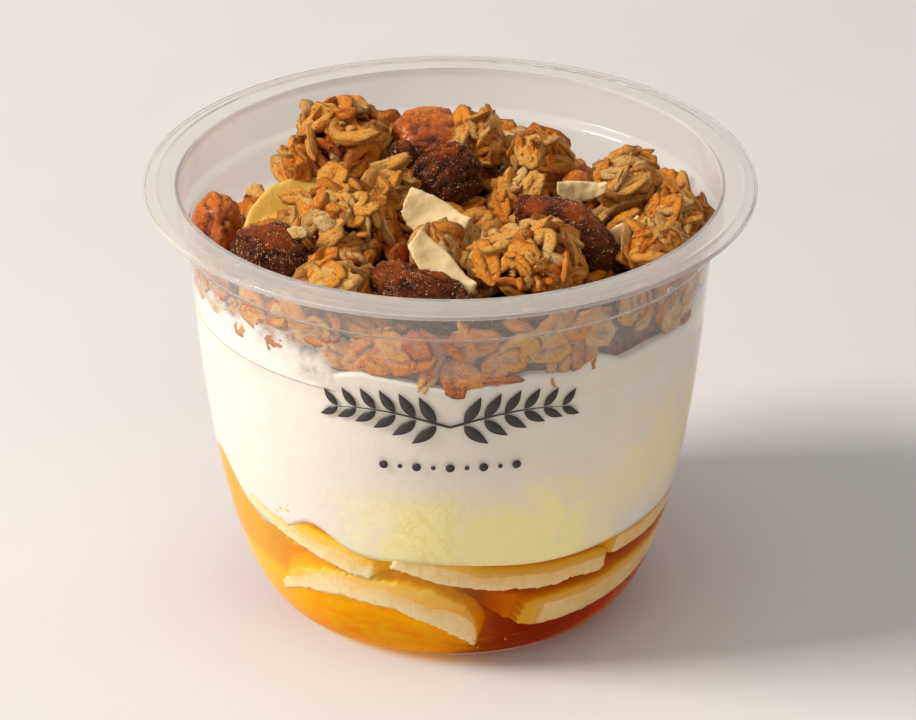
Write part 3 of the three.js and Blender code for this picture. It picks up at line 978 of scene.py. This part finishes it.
def scatter_crumbs(gathered, random, places, sizes):
    points = held_in(crumbs(random, sizes) + places[:, None], OAT_REACH)
    shade = random.uniform(*CRUMB_TOAST, (len(places), 1))
    gathered.add(points, CRUMB_FACES, toast=shade, crease=0.0)


# A clump: how pale its oats, crumbs and core are, how many there are for each square millimetre, how
# far inside its box the core, the oats and the crumbs are laid, how low on it they still lie, and
# over what depth its painted shade grows dark.
OAT_TOAST = (0.3, 0.9)
CRUMB_TOAST = (0.2, 0.8)
CORE_TOAST = 0.1
OATS_PER_AREA = 0.105
CRUMBS_PER_AREA = 0.2
CORE_INSET = 1.5
OAT_INSET = 1.2
CRUMB_INSET = 0.6
LOWEST = -0.7
PAINTED_SHADE_DEPTH = 2.2


def granola_cluster(node, seed, materials):
    """A clump of oats and crumbs stuck together by their glaze."""
    random = np.random.default_rng(seed)
    centre, half = centre_and_half(node)
    area = 4 * math.pi * np.mean(half) ** 2
    gathered = Gathered()

    core, core_faces = ball(5)
    at = core * half + seed * 31.0
    lumps = 0.55 * grain(at, 3.4) + 0.3 * grain(at, 1.7, 4) + 0.15 * grain(at, 0.8, 8)
    core = held_in(core * (half - CORE_INSET) * (0.92 + 0.24 * lumps)[:, None] + centre)
    # Painted shade in the core's hollows, darker where it sinks in.
    hollow_shade = np.clip(0.4 - 1.6 * lumps, 0, 1)
    gathered.add(core[None], core_faces, kind=1, toast=CORE_TOAST, crease=hollow_shade)

    count = int(area * OATS_PER_AREA)
    directions = spread(count, LOWEST)
    shift = 1 + 0.2 * grain(directions * 1.6 + seed * 17.0, 1.0)
    depth = random.uniform(0.76, 1.04, count) * shift
    places = centre + directions * (half - OAT_INSET) * depth[:, None]
    strew(gathered, random, places, unit(directions / half), OAT_TOAST)

    count = int(area * CRUMBS_PER_AREA)
    depth = random.uniform(0.82, 1.0, count)
    places = centre + spread(count, LOWEST) * (half - CRUMB_INSET) * depth[:, None]
    scatter_crumbs(gathered, random, places, 0.45 + 1.6 * random.uniform(0, 1, count) ** 2.5)

    # Painted shade: how far each point lies inside the clump, which the oat and crumb colours darken.
    def deep(points):
        level = np.linalg.norm((points - centre) / half, axis=1)
        return np.clip((0.98 - level) * half.mean() / PAINTED_SHADE_DEPTH, 0, 1)

    gathered.mark_all("deep", deep)
    gathered.place(node + "_oats", materials, "granola", [node])


# Oats that stand out in the heap: place, turn in the picture and lean away from it in degrees,
# length, width, thickness, bend for each millimetre, how pale.
CHOSEN_OATS = (
    ((-22.0, 15.6, 77.6), 35, 40, 7.4, 3.6, 1.4, 0.15, 0.60),
    ((-15.6, 10.8, 76.8), 3, 68, 8.4, 4.2, 1.6, 0.05, 0.62),
    ((-17.3, 15.0, 79.2), 10, 50, 3.6, 2.8, 1.6, 0.10, 0.25),
    ((-10.5, 0.0, 76.0), 28, 55, 9.4, 2.8, 2.4, 0.04, 0.66),
    ((-9.2, -3.0, 75.0), 56, 60, 4.8, 2.6, 1.4, 0.20, 0.55),
    ((-19.8, -11.4, 75.0), 35, 20, 7.0, 4.6, 1.4, 0.08, 0.86),
    ((-19.2, -5.6, 76.8), 60, 25, 6.4, 5.4, 1.2, 0.12, 0.60),
    ((-25.2, -8.0, 74.6), -5, 45, 5.6, 3.8, 1.4, 0.15, 0.60),
    ((-15.1, -12.2, 75.6), 43, 40, 4.9, 3.8, 1.3, 0.15, 0.70),
    ((-13.6, -14.0, 75.2), 19, 50, 4.9, 3.4, 1.3, 0.20, 0.60),
    ((-24.6, -21.0, 74.4), 0, 35, 3.8, 2.6, 1.2, 0.10, 0.95),
    ((-20.1, -16.2, 73.6), -20, 25, 4.2, 3.2, 1.6, 0.10, 0.95),
    ((-19.1, -18.6, 72.3), 36, 30, 5.2, 3.6, 1.4, 0.25, 0.65),
    ((-19.4, -34.4, 72.9), 17, 25, 6.8, 3.6, 1.5, 0.15, 0.80),
    ((-16.3, -35.2, 72.4), 24, 30, 5.4, 3.4, 1.4, 0.20, 0.84),
    ((-3.1, -20.4, 72.6), 98, 15, 5.0, 3.6, 1.3, 0.50, 0.68),
    ((13.6, -2.0, 74.2), 60, 20, 4.8, 4.2, 1.0, 0.10, 0.72),
    ((28.1, -3.0, 76.0), 63, 30, 4.8, 1.5, 1.2, 0.05, 0.85),
    ((29.8, -3.2, 74.6), 31, 30, 5.8, 3.2, 1.3, 0.20, 0.72),
    ((25.2, 1.4, 75.0), 58, 50, 4.4, 2.4, 1.4, 0.10, 0.35),
    ((29.1, -6.4, 70.4), 23, 65, 5.2, 3.0, 1.5, 0.05, 0.50),
    ((39.2, -8.0, 70.9), 13, 40, 4.8, 2.8, 1.4, 0.10, 0.55),
    ((32.6, -21.9, 73.8), 8, 30, 7.2, 3.8, 1.6, 0.10, 0.72),
    ((32.1, -24.8, 72.5), 5, 45, 7.0, 3.6, 1.6, 0.05, 0.62),
)


def build_chosen_oats(materials):
    """Stands the chosen oats up as the camera sees them."""
    random = np.random.default_rng(5)
    rows = np.array([[*place, *rest] for place, *rest in CHOSEN_OATS])
    turn, lean = np.radians(rows[:, 3]), np.radians(rows[:, 4])
    rise = math.radians(CAMERA_RISE)
    right, up = np.array([1.0, 0, 0]), np.array([0, math.sin(rise), math.cos(rise)])
    near = np.cross(right, up)
    along = np.cos(turn)[:, None] * right + np.sin(turn)[:, None] * up
    over = np.sin(turn)[:, None] * right - np.cos(turn)[:, None] * up
    facing = np.cos(lean)[:, None] * near - np.sin(lean)[:, None] * over
    matrices = np.stack([along, np.cross(facing, along), facing], axis=2)
    points, crease = flakes(random, *rows[:, 5:9].T)
    gathered = Gathered()
    points = held_in(laid(points, matrices, rows[:, :3]), OAT_REACH)
    gathered.add(points, FLAKE_FACES, toast=rows[:, 9:], crease=crease, deep=0.0)
    gathered.place("chosen_oats", materials, "granola")


# ---- The pot and what fills it

def rounded(points, radius, steps=5):
    """A line with each inner corner replaced by a small curve."""
    points = [np.array(point, float) for point in points]
    line = [points[0]]
    for before, corner, after in zip(points, points[1:], points[2:]):
        reach = min(radius, *(np.linalg.norm(p - corner) * 0.45 for p in (before, after)))
        start = corner + reach * unit(before - corner)
        end = corner + reach * unit(after - corner)
        for t in np.linspace(0, 1, steps):
            line.append((1 - t) ** 2 * start + 2 * t * (1 - t) * corner + t ** 2 * end)
    return line + [points[-1]]


def pot_profile():
    """The pot's section: under its base, up the outside, round the rim and down the inside."""
    top = POT_HEIGHT
    outside, inside = wall_line(0), wall_line(WALL)[::-1]
    rim = rounded([
        outside[-1],
        (MOUTH_RADIUS, top - WALL),
        (RIM_RADIUS - WALL, top - WALL - RIM_DROOP),
        (RIM_RADIUS - WALL, top - SKIRT_DEPTH),
        (RIM_RADIUS, top - SKIRT_DEPTH),
        (RIM_RADIUS, top - RIM_DROOP),
        (RIDGE_RADIUS + RIDGE_HALF, top - RIDGE_RISE),
        (RIDGE_RADIUS, top),
        (RIDGE_RADIUS - RIDGE_HALF, top - RIDGE_RISE),
        (MOUTH_RADIUS - WALL, top - 0.05),
        inside[0],
    ], RIM_CORNER)
    foot = rounded([
        (0, PUSH_UP), (PUSH_UP_RADIUS, PUSH_UP), (FOOT_RADIUS, 0), outside[0],
    ], FOOT_CORNER)
    floor = rounded([
        inside[-1], (FOOT_RADIUS, WALL), (PUSH_UP_RADIUS, WALL + PUSH_UP), (0, WALL + PUSH_UP),
    ], FOOT_CORNER)
    return np.vstack([foot[:-1], outside[:-1], rim, inside[1:-1], floor])


def build_pot():
    """The filled wall hardly mirrors the room, because what fills it clings to it."""
    points, faces = revolved(pot_profile(), 216)
    heights = points[:, 2]
    upper = [int(max(heights[corner] for corner in face) > FILLED_TO) for face in faces]
    materials = [
        clear_plastic("clear_wall", FILLED_BENDING, ("FAFAF9", "FFFFFE")),
        clear_plastic("clear_rim", RIM_BENDING, ("F7F4EF", "FCFAF6")),
    ]
    add_piece("pot_shell", points, faces, materials, ["pot"], faces_of=upper)


def floor_level(x, y):
    return WALL + PUSH_UP * (1 - outward(x, y) ** 2) - FLOOR_OVERLAP


def honey_top(x, y):
    """Honey creeps up the wall on the left, domes over a slice beside it, dips to the right."""
    angle = bearing(x, y)
    gain = sum(by * np.exp(-((angle - at) / wide) ** 2) for by, at, wide in HONEY_SWELLS)
    gain = gain + HONEY_RIPPLE * np.sin(np.radians(angle * 3 + 40))
    return HONEY_LEVEL + gain * outward(x, y) ** 4


def yogurt_top(x, y):
    """Level at the axis, and along the wall the edge where the granola ends."""
    angle = bearing(x, y)
    degrees, heights = np.array(GRANOLA_EDGE).T
    edge = np.interp(angle, degrees, heights, period=360)
    return YOGURT_LEVEL + (edge - YOGURT_LEVEL) * outward(x, y) ** 3


def build_honey():
    points, faces = poured(floor_level, honey_top, HONEY_REACH, rows=40)
    add_piece("honey_pool", points, faces, [honey_syrup()], ["honey"])


def build_yogurt():
    points, faces = poured(
        lambda x, y: honey_top(x, y) - YOGURT_OVERLAP, yogurt_top, YOGURT_REACH, rows=44,
    )
    add_piece("yogurt_layer", points, faces, [yogurt_cream()], ["yogurt"])


def build_bananas():
    """Slices in the honey. Their cut edges touch the wall in places and are under a thin film of
    honey elsewhere."""
    flesh = banana_flesh()
    for node in nodes_named("banana_slice"):
        points, faces = soft_copy(node, "banana_slice")
        normals = outward_of(points, faces)
        points += normals * (0.25 * grain(points, 3.1, 21) + 0.1 * grain(points, 1.0, 22))[:, None]
        points += 0.15 * normals
        radius = np.hypot(points[:, 0], points[:, 1])
        wall = inner_radius(points[:, 2])
        touches = radius > wall - BANANA_PRESSED.get(node, PRESSED)
        middle, axes = own_axes(points)
        flat = axes[2] * np.sign(axes[2][2])
        level = (points - middle) @ flat
        share = (level - level.min()) / np.ptp(level)
        films, bend_at, wavy, thicker = BANANA_FILM[node]
        film = np.interp(share, (FILM_START, FILM_START + bend_at, 1), films)
        film += wavy * (0.5 + 0.5 * grain(points, 5.0, 23)) * np.clip(share / bend_at - 0.3, 0, 1)
        film += 0.3 * np.clip(wall - radius - PRESSED, 0, 2)
        points += (share * thicker)[:, None] * flat
        sag, start = BANANA_SAG.get(node, NO_SAG)
        round_by = np.clip((bearing(points[:, 0], points[:, 1]) - start) / SAG_TURN, 0, 1)
        points[:, 2] -= sag * round_by * np.minimum(1, radius / wall) ** 4
        wall, radius = inner_radius(points[:, 2]), np.hypot(points[:, 0], points[:, 1])
        reach = np.where(touches, wall + BANANA_REACH - film, np.minimum(radius, wall - film))
        points[:, :2] *= (reach / radius)[:, None]
        marks = {"film": np.where(touches, film, 1.0)}
        add_piece(node + "_flesh", points, faces, [flesh], [node], marks)


# Degrees round the wall, height, spread of each, how many, largest size.
BUBBLES = (
    (-43.5, 24.0, 2.6, 2.8, 34, 1.5),
    (-27.0, 15.2, 0.8, 0.4, 3, 0.9),
    (-14.5, 12.9, 0.9, 0.4, 3, 0.9),
    (-10.0, 11.3, 0.5, 0.4, 3, 0.8),
    (8.0, 5.0, 7.0, 2.4, 9, 0.5),
    (-58.0, 16.0, 7.0, 6.0, 12, 0.5),
    (40.0, 9.0, 9.0, 3.0, 9, 0.5),
    (128.0, 15.0, 30.0, 7.0, 26, 0.8),
    (-128.0, 15.0, 24.0, 7.0, 26, 0.8),
)
BUBBLE_REACH = 0.12


def build_bubbles():
    """Small air bubbles in the honey against the wall."""
    random = np.random.default_rng(17)
    gathered = Gathered()
    points, faces = ball(2)
    for angle, height, angle_spread, height_spread, count, largest in BUBBLES:
        size = largest * random.uniform(0.3, 1, count) ** 1.6
        places = at_wall(
            angle + angle_spread * random.normal(0, 0.6, count),
            height + height_spread * random.normal(0, 0.6, count), BUBBLE_REACH,
        )
        places -= unit(places * np.array([1, 1, 0])) * size[:, None] * 0.42
        gathered.add(places[:, None] + points[None] * size[:, None, None] / 2, faces)
    gathered.place("honey_bubbles", [air_bubble()], "honey")


# Degrees round the wall, height, size.
DROPLETS = ((53.0, 67.0, 1.3), (54.6, 65.6, 0.8), (55.6, 66.6, 0.5), (51.8, 65.9, 0.4))
DROPLET_REACH = -0.2


def build_droplets():
    """Drops of water inside the wall near the rim."""
    gathered = Gathered()
    points, faces = ball(3)
    for angle, height, size in DROPLETS:
        gathered.add((at_wall(angle, height, DROPLET_REACH) + points * size / 2)[None], faces)
    gathered.place("wall_droplets", [water_drop()], "plastic")


SMEAR_SPAN = (-84, -22)
SMEAR_HEIGHTS = (54.5, 66.5)
SMEAR_REACH = (0.14, 0.18)


def build_smear():
    """A thin smear of yogurt on the wall over the granola's edge, at the left."""
    angle = np.linspace(*SMEAR_SPAN, 80)
    height = np.linspace(*SMEAR_HEIGHTS, 30)
    grid_angle, grid_height = (axis.ravel() for axis in np.meshgrid(angle, height))
    layers = [at_wall(grid_angle, grid_height, out) for out in SMEAR_REACH]
    across = np.abs(2 * (grid_angle - angle[0]) / np.ptp(angle) - 1)
    above = (grid_height - height[0]) / np.ptp(height)
    edge = np.maximum(across ** 2.5, above ** 1.1)
    rows, columns = len(height), len(angle)
    at = np.arange(rows * columns).reshape(rows, columns)
    quads = np.stack([at[:-1, :-1], at[:-1, 1:], at[1:, 1:], at[1:, :-1]], axis=-1).reshape(-1, 4)
    rim = np.concatenate([at[0, :], at[1:, -1], at[-1, -2::-1], at[-2:0:-1, 0]])
    back = rows * columns
    faces = (quads + back).tolist() + quads[:, ::-1].tolist()
    faces += [
        (int(first), int(second), int(second) + back, int(first) + back)
        for first, second in zip(rim, np.roll(rim, -1))
    ]
    add_piece(
        "yogurt_smear", np.vstack(layers), faces, [smeared_cream()],
        marks={"edge": np.tile(edge, 2)},
    )


OUTER_LINE = wall_line(0)
INK_RISE = (0.02, 0.06)
INK_END = 0.02


def ribbon(line, widths):
    """A thin closed strip on the wall's outside, along a line of distances round and heights."""
    line = np.asarray(line, float)
    along = unit(np.gradient(line, axis=0))
    side = np.stack([-along[:, 1], along[:, 0]], axis=1) * np.asarray(widths)[:, None] / 2
    corners = []
    for rise in INK_RISE:
        for edge in (line - side, line + side):
            radius = np.interp(edge[:, 1], OUTER_LINE[:, 1], OUTER_LINE[:, 0])
            angle = edge[:, 0] / radius
            out = radius + rise
            corners.append(np.stack([out * np.sin(angle), -out * np.cos(angle), edge[:, 1]], axis=1))
    points = np.stack(corners, axis=1).reshape(-1, 3)
    faces = []
    for step in range(len(line) - 1):
        here, there = 4 * step, 4 * step + 4
        for first, second in ((0, 1), (1, 3), (3, 2), (2, 0)):
            faces.append((here + first, here + second, there + second, there + first))
    last = 4 * (len(line) - 1)
    return points, faces + [(2, 3, 1, 0), (last, last + 1, last + 3, last + 2)]


def leaf(start, angle, length, width):
    """A pointed leaf from its stalk's end, at an angle from the line round the pot."""
    t = np.linspace(0, 1, 15)
    turn = np.radians(angle + 18 * t)
    step = np.stack([np.cos(turn), np.sin(turn)], axis=1) * length / (len(t) - 1)
    line = np.array(start) + np.cumsum(step, axis=0)
    return ribbon(line, width * np.sin(math.pi * t ** 0.8) + INK_END)


# The printed sprig: how far each half reaches round the wall, its height, and how many pairs of
# leaves each half has. Then the row of dots: its height, their spacing, and the widths they take
# in turn.
SPRIG_REACH = 21
SPRIG_HEIGHT = 50.2
LEAF_PAIRS = 6
DOTS_HEIGHT = 42.4
DOT_STEP = 2.7
DOT_WIDTHS = (1.5, 0.8)


def sprig_height(share):
    return SPRIG_HEIGHT + 2.4 * np.sin(2.6 * share)


def build_print():
    """A plain sprig of leaves printed on the front, over a row of dots."""
    parts = []
    for hand in (-1, 1):
        t = np.linspace(0, 1, 30)
        stem = np.stack([hand * SPRIG_REACH * t, sprig_height(t)], axis=1)
        parts.append(ribbon(stem, 0.45 * (1.1 - t)))
        for number in range(LEAF_PAIRS):
            share = (number + 0.6) / (LEAF_PAIRS + 0.4)
            size = 5.6 - 2.2 * share
            for up in (-1, 1):
                angle = up * (52 - 14 * share) - 1
                root = (SPRIG_REACH * share, sprig_height(share))
                points, faces = leaf(root, angle, size, 0.36 * size)
                if hand < 0:
                    points = points * np.array([-1, 1, 1])
                    faces = [face[::-1] for face in faces]
                parts.append((points, faces))
    t = np.linspace(-1, 1, 11)
    for number in range(-4, 5):
        wide = DOT_WIDTHS[number % 2]
        line = np.stack([DOT_STEP * number + t * wide / 2, DOTS_HEIGHT + 0 * t], axis=1)
        parts.append(ribbon(line, wide * np.sqrt(1 - t ** 2) + INK_END))
    gathered = Gathered()
    for points, faces in parts:
        gathered.add(points[None], faces)
    gathered.place("printed_sprig", [printed_ink()], "plastic")


# ---- The heap

def build_clusters(materials):
    clusters = [node for node in nodes_named("granola_") if node != "granola_bed"]
    for number, node in enumerate(clusters):
        granola_cluster(node, 40 + number, materials)


# The bed: how far under its top and inside the wall its dark core ends, how its oats are spread,
# how high the oats along the wall go, and the height at which its lower edge is looked up. The
# solid ends just inside the wall, so its top is looked up a little inwards.
BED_CORE_DROP = 1.6
BED_CORE_INSET = 1.3
BED_RADIUS = 42
BED_OATS = 260
WALL_OATS = 230
WALL_OATS_TOP = 66.5
BED_EDGE = 60.0
CORE_LOOK_IN = 0.96
WALL_LOOK_IN = 0.97


def build_bed(materials):
    """The layer of granola on the yogurt: a dark core with painted shade in its hollows, oats on top
    and oats along the wall, with painted shade where they lie deep.
    """
    random = np.random.default_rng(11)
    bed_top = top_of("granola_bed", YOGURT_LEVEL)

    def core_top(x, y):
        top = bed_top(x * CORE_LOOK_IN, y * CORE_LOOK_IN) - BED_CORE_DROP
        return np.maximum(top, yogurt_top(x, y) - 0.3)

    gathered = Gathered()
    core, core_faces = poured(
        lambda x, y: yogurt_top(x, y) - 0.6, core_top, -BED_CORE_INSET, around=120, rings=30, rows=10,
    )
    lumps = grain(core, 2.2, 31)
    core = core + lumps[:, None] * np.array([0, 0, 0.6])
    # Painted shade in the core's hollows, darker where it sinks in.
    hollow_shade = np.clip(0.75 - lumps, 0, 1)
    gathered.add(core[None], core_faces, kind=1, toast=CORE_TOAST, crease=hollow_shade)

    radius = BED_RADIUS * np.sqrt((np.arange(BED_OATS) + 0.5) / BED_OATS)
    angle = np.arange(BED_OATS) * GOLDEN_ANGLE
    x, y = radius * np.cos(angle), radius * np.sin(angle)
    z = np.maximum(bed_top(x, y), yogurt_top(x, y) + 0.8)
    places = np.stack([x, y, z - 0.4], axis=1)
    strew(gathered, random, places, np.tile([0.0, 0.0, 1.0], (len(places), 1)))

    angle = random.uniform(-180, 180, WALL_OATS)
    edge = yogurt_top(*at_wall(angle, BED_EDGE)[:, :2].T)
    height = edge + 1.4 + random.uniform(0, 1, WALL_OATS) * (WALL_OATS_TOP - edge)
    places = at_wall(angle, height, -0.9)
    roof = bed_top(places[:, 0] * WALL_LOOK_IN, places[:, 1] * WALL_LOOK_IN)
    places = places[roof > places[:, 2] - 1.5]
    strew(gathered, random, places, unit(places * np.array([1, 1, 0])), lean=0.4)

    # Painted shade: how far each point lies under the bed's top and inside from the wall, which the
    # colours darken.
    def deep(points):
        x, y, z = points.T
        below = bed_top(x, y) - z
        inside = inner_radius(z) - np.hypot(x, y)
        return np.clip((np.minimum(below, inside) - 0.6) / PAINTED_SHADE_DEPTH, 0, 1)

    gathered.mark_all("deep", deep)
    gathered.place("granola_bed_oats", materials, "granola", ["granola_bed"])


def wrinkled(node, depth, seed):
    """A dried fruit's skin: a node's form with folds along its length, and how high each point
    stands between the folds."""
    points, faces = soft_copy(node, "raisin")
    middle, axes = own_axes(points)
    local = (points - middle) @ axes.T
    warp = np.stack([grain(local, 4.0, seed + i) for i in range(3)], axis=1)
    coarse = np.abs(grain(local * np.array([0.4, 1, 1]) + 1.2 * warp, 2.6, seed + 5))
    fine = np.abs(grain(local * np.array([0.7, 1, 1]) + 0.5 * warp, 1.1, seed + 6))
    fold = np.minimum(1, 2.4 * coarse) * 0.6 + np.minimum(1, 2.4 * fine) * 0.4
    normals = outward_of(points, faces)
    points = points + normals * (depth * (fold - 0.7))[:, None]
    return held_in(points, 0.0), faces, fold, normals


CUBE = np.array(list(itertools.product((-0.5, 0.5), repeat=3)))
CUBE_FACES = [(0, 1, 3, 2), (4, 6, 7, 5), (0, 4, 5, 1), (2, 3, 7, 6), (0, 2, 6, 4), (1, 5, 7, 3)]
SUGAR_SIZES = (0.07, 0.16)
SUGAR_RISE = 0.05
SUGAR_SPIN = 6.3


def build_raisin(node, seed, materials, slot, depth, grains):
    """A raisin with sugar grains stuck to its skin."""
    random = np.random.default_rng(seed)
    points, faces, fold, normals = wrinkled(node, depth, seed)
    high = (points[:, 2] - points[:, 2].min()) / np.ptp(points[:, 2])
    gathered = Gathered()
    gathered.add(points[None], faces, fold=fold, high=high)
    count = int(len(points) * grains)
    chosen = random.choice(len(points), count, replace=False)
    dusty = grain(points[chosen], 3.0, seed + 9) > random.uniform(-0.9, 0.5, count)
    chosen = chosen[dusty]
    count = len(chosen)
    size = random.uniform(*SUGAR_SIZES, (count, 1, 1))
    matrices = turned(random.normal(size=(count, 3)), random.uniform(0, SUGAR_SPIN, count))
    cubes = laid(CUBE[None] * size, matrices, points[chosen] + SUGAR_RISE * normals[chosen])
    gathered.add(held_in(cubes, 0.0), CUBE_FACES, kind=1, fold=1.0, high=0.5)
    gathered.place(node + "_fruit", materials, slot, [node])


def build_raisins():
    """Dark raisins and amber ones, with sugar grains in a share of the points of the skin."""
    sugar = sugar_grain()
    dark = ([raisin_skin(), sugar], "raisin", 0.7, 0.36)
    amber = ([amber_skin(), sugar], "raisin_amber", 0.6, 0.05)
    for number, node in enumerate(nodes_named("raisin")):
        looks = amber if node.startswith("raisin_amber") else dark
        build_raisin(node, 100 + 20 * number, *looks)


def build_coconut():
    """Shavings with torn, finely jagged edges."""
    flesh = coconut_flesh()
    for node in nodes_named("coconut"):
        points, faces = soft_copy(node, "coconut")
        middle, axes = own_axes(points)
        local = (points - middle) @ axes.T
        edge = unit(local * np.array([1, 1, 0]))
        reach = np.linalg.norm(local[:, :2], axis=1) / np.abs(local[:, 0]).max()
        torn = 0.5 * grain(local, 3.0, 51) + 0.2 * grain(local, 0.9, 52) + 0.2 * grain(local, 0.4, 53)
        local = local + edge * (torn * reach)[:, None]
        local[:, 2] += 0.25 * grain(local[:, [0, 0, 1]], 2.6, 54)
        points = held_in(local @ axes + middle, 0.0)
        add_piece(node + "_flesh", points, faces, [flesh], [node])


def build_chip():
    points, faces = soft_copy("banana_chip", "banana_chip")
    normals = outward_of(points, faces)
    points = points + normals * (0.25 * grain(points, 3.4, 61))[:, None]
    add_piece("banana_chip_slice", points, faces, [dried_banana()], ["banana_chip"])


# ---- Table, light and view

TABLE_REACH = 6.0
KEY_BEARING = -80
KEY_RISE = 40
KEY_DISTANCE = 1.35
KEY_AIM = (0, 0, 0.04)
KEY_SIZE = 0.42
KEY_POWER = 19.8
KEY_COLOUR = (1.0, 0.975, 0.945)
ROOM_COLOUR = (1.0, 0.985, 0.97, 1)
ROOM_LIGHT = 0.53
CLIP = (0.05, 20)


def build_table():
    mesh = bpy.data.meshes.new("table")
    corners = [(x * TABLE_REACH, y * TABLE_REACH, 0) for x, y in ((-1, -1), (1, -1), (1, 1), (-1, 1))]
    mesh.from_pydata(corners, [], [(0, 1, 2, 3)])
    mesh.materials.append(table_top())
    table = bpy.data.objects.new("table", mesh)
    bpy.context.scene.collection.objects.link(table)


def build_light():
    """A soft lamp from the left, and a pale room all round."""
    angle, rise = math.radians(KEY_BEARING), math.radians(KEY_RISE)
    place = KEY_DISTANCE * Vector((
        math.sin(angle) * math.cos(rise), -math.cos(angle) * math.cos(rise), math.sin(rise),
    ))
    light = bpy.data.lights.new("window", "AREA")
    light.shape = "RECTANGLE"
    light.size = light.size_y = KEY_SIZE
    light.energy = KEY_POWER
    light.color = KEY_COLOUR
    lamp = bpy.data.objects.new("window", light)
    lamp.location = place
    lamp.rotation_euler = (Vector(KEY_AIM) - place).to_track_quat("-Z", "Y").to_euler()
    bpy.context.scene.collection.objects.link(lamp)
    world = bpy.data.worlds.new("room")
    bpy.context.scene.world = world
    world.use_nodes = True
    world.node_tree.nodes["Background"].inputs[0].default_value = ROOM_COLOUR
    world.node_tree.nodes["Background"].inputs[1].default_value = ROOM_LIGHT


def build_camera():
    camera = bpy.data.cameras.new("camera")
    viewpoint = bpy.data.objects.new("camera", camera)
    rise = math.radians(CAMERA_RISE)
    viewpoint.location = (
        0, -CAMERA_DISTANCE * math.cos(rise) * MM,
        (CAMERA_AIM + CAMERA_DISTANCE * math.sin(rise)) * MM,
    )
    viewpoint.rotation_euler = (math.pi / 2 - rise, 0, 0)
    camera.sensor_width = SENSOR_WIDTH
    camera.lens = FOCAL_PIXELS / PHOTO_WIDTH * SENSOR_WIDTH
    camera.shift_x = (PHOTO_WIDTH / 2 - AXIS_PIXEL[0]) / PHOTO_WIDTH
    camera.shift_y = (AXIS_PIXEL[1] - PHOTO_HEIGHT / 2) / PHOTO_WIDTH
    camera.clip_start, camera.clip_end = CLIP
    bpy.context.scene.collection.objects.link(viewpoint)
    bpy.context.scene.camera = viewpoint


bpy.context.scene.view_settings.view_transform = "Standard"
build_camera()
build_light()
build_table()
build_pot()
build_honey()
build_yogurt()
build_bananas()
build_bubbles()
build_droplets()
build_smear()
build_print()
oat_materials = [toasted_oat(), baked_crumb()]
build_clusters(oat_materials)
build_chosen_oats(oat_materials)
build_bed(oat_materials)
build_raisins()
build_coconut()
build_chip()
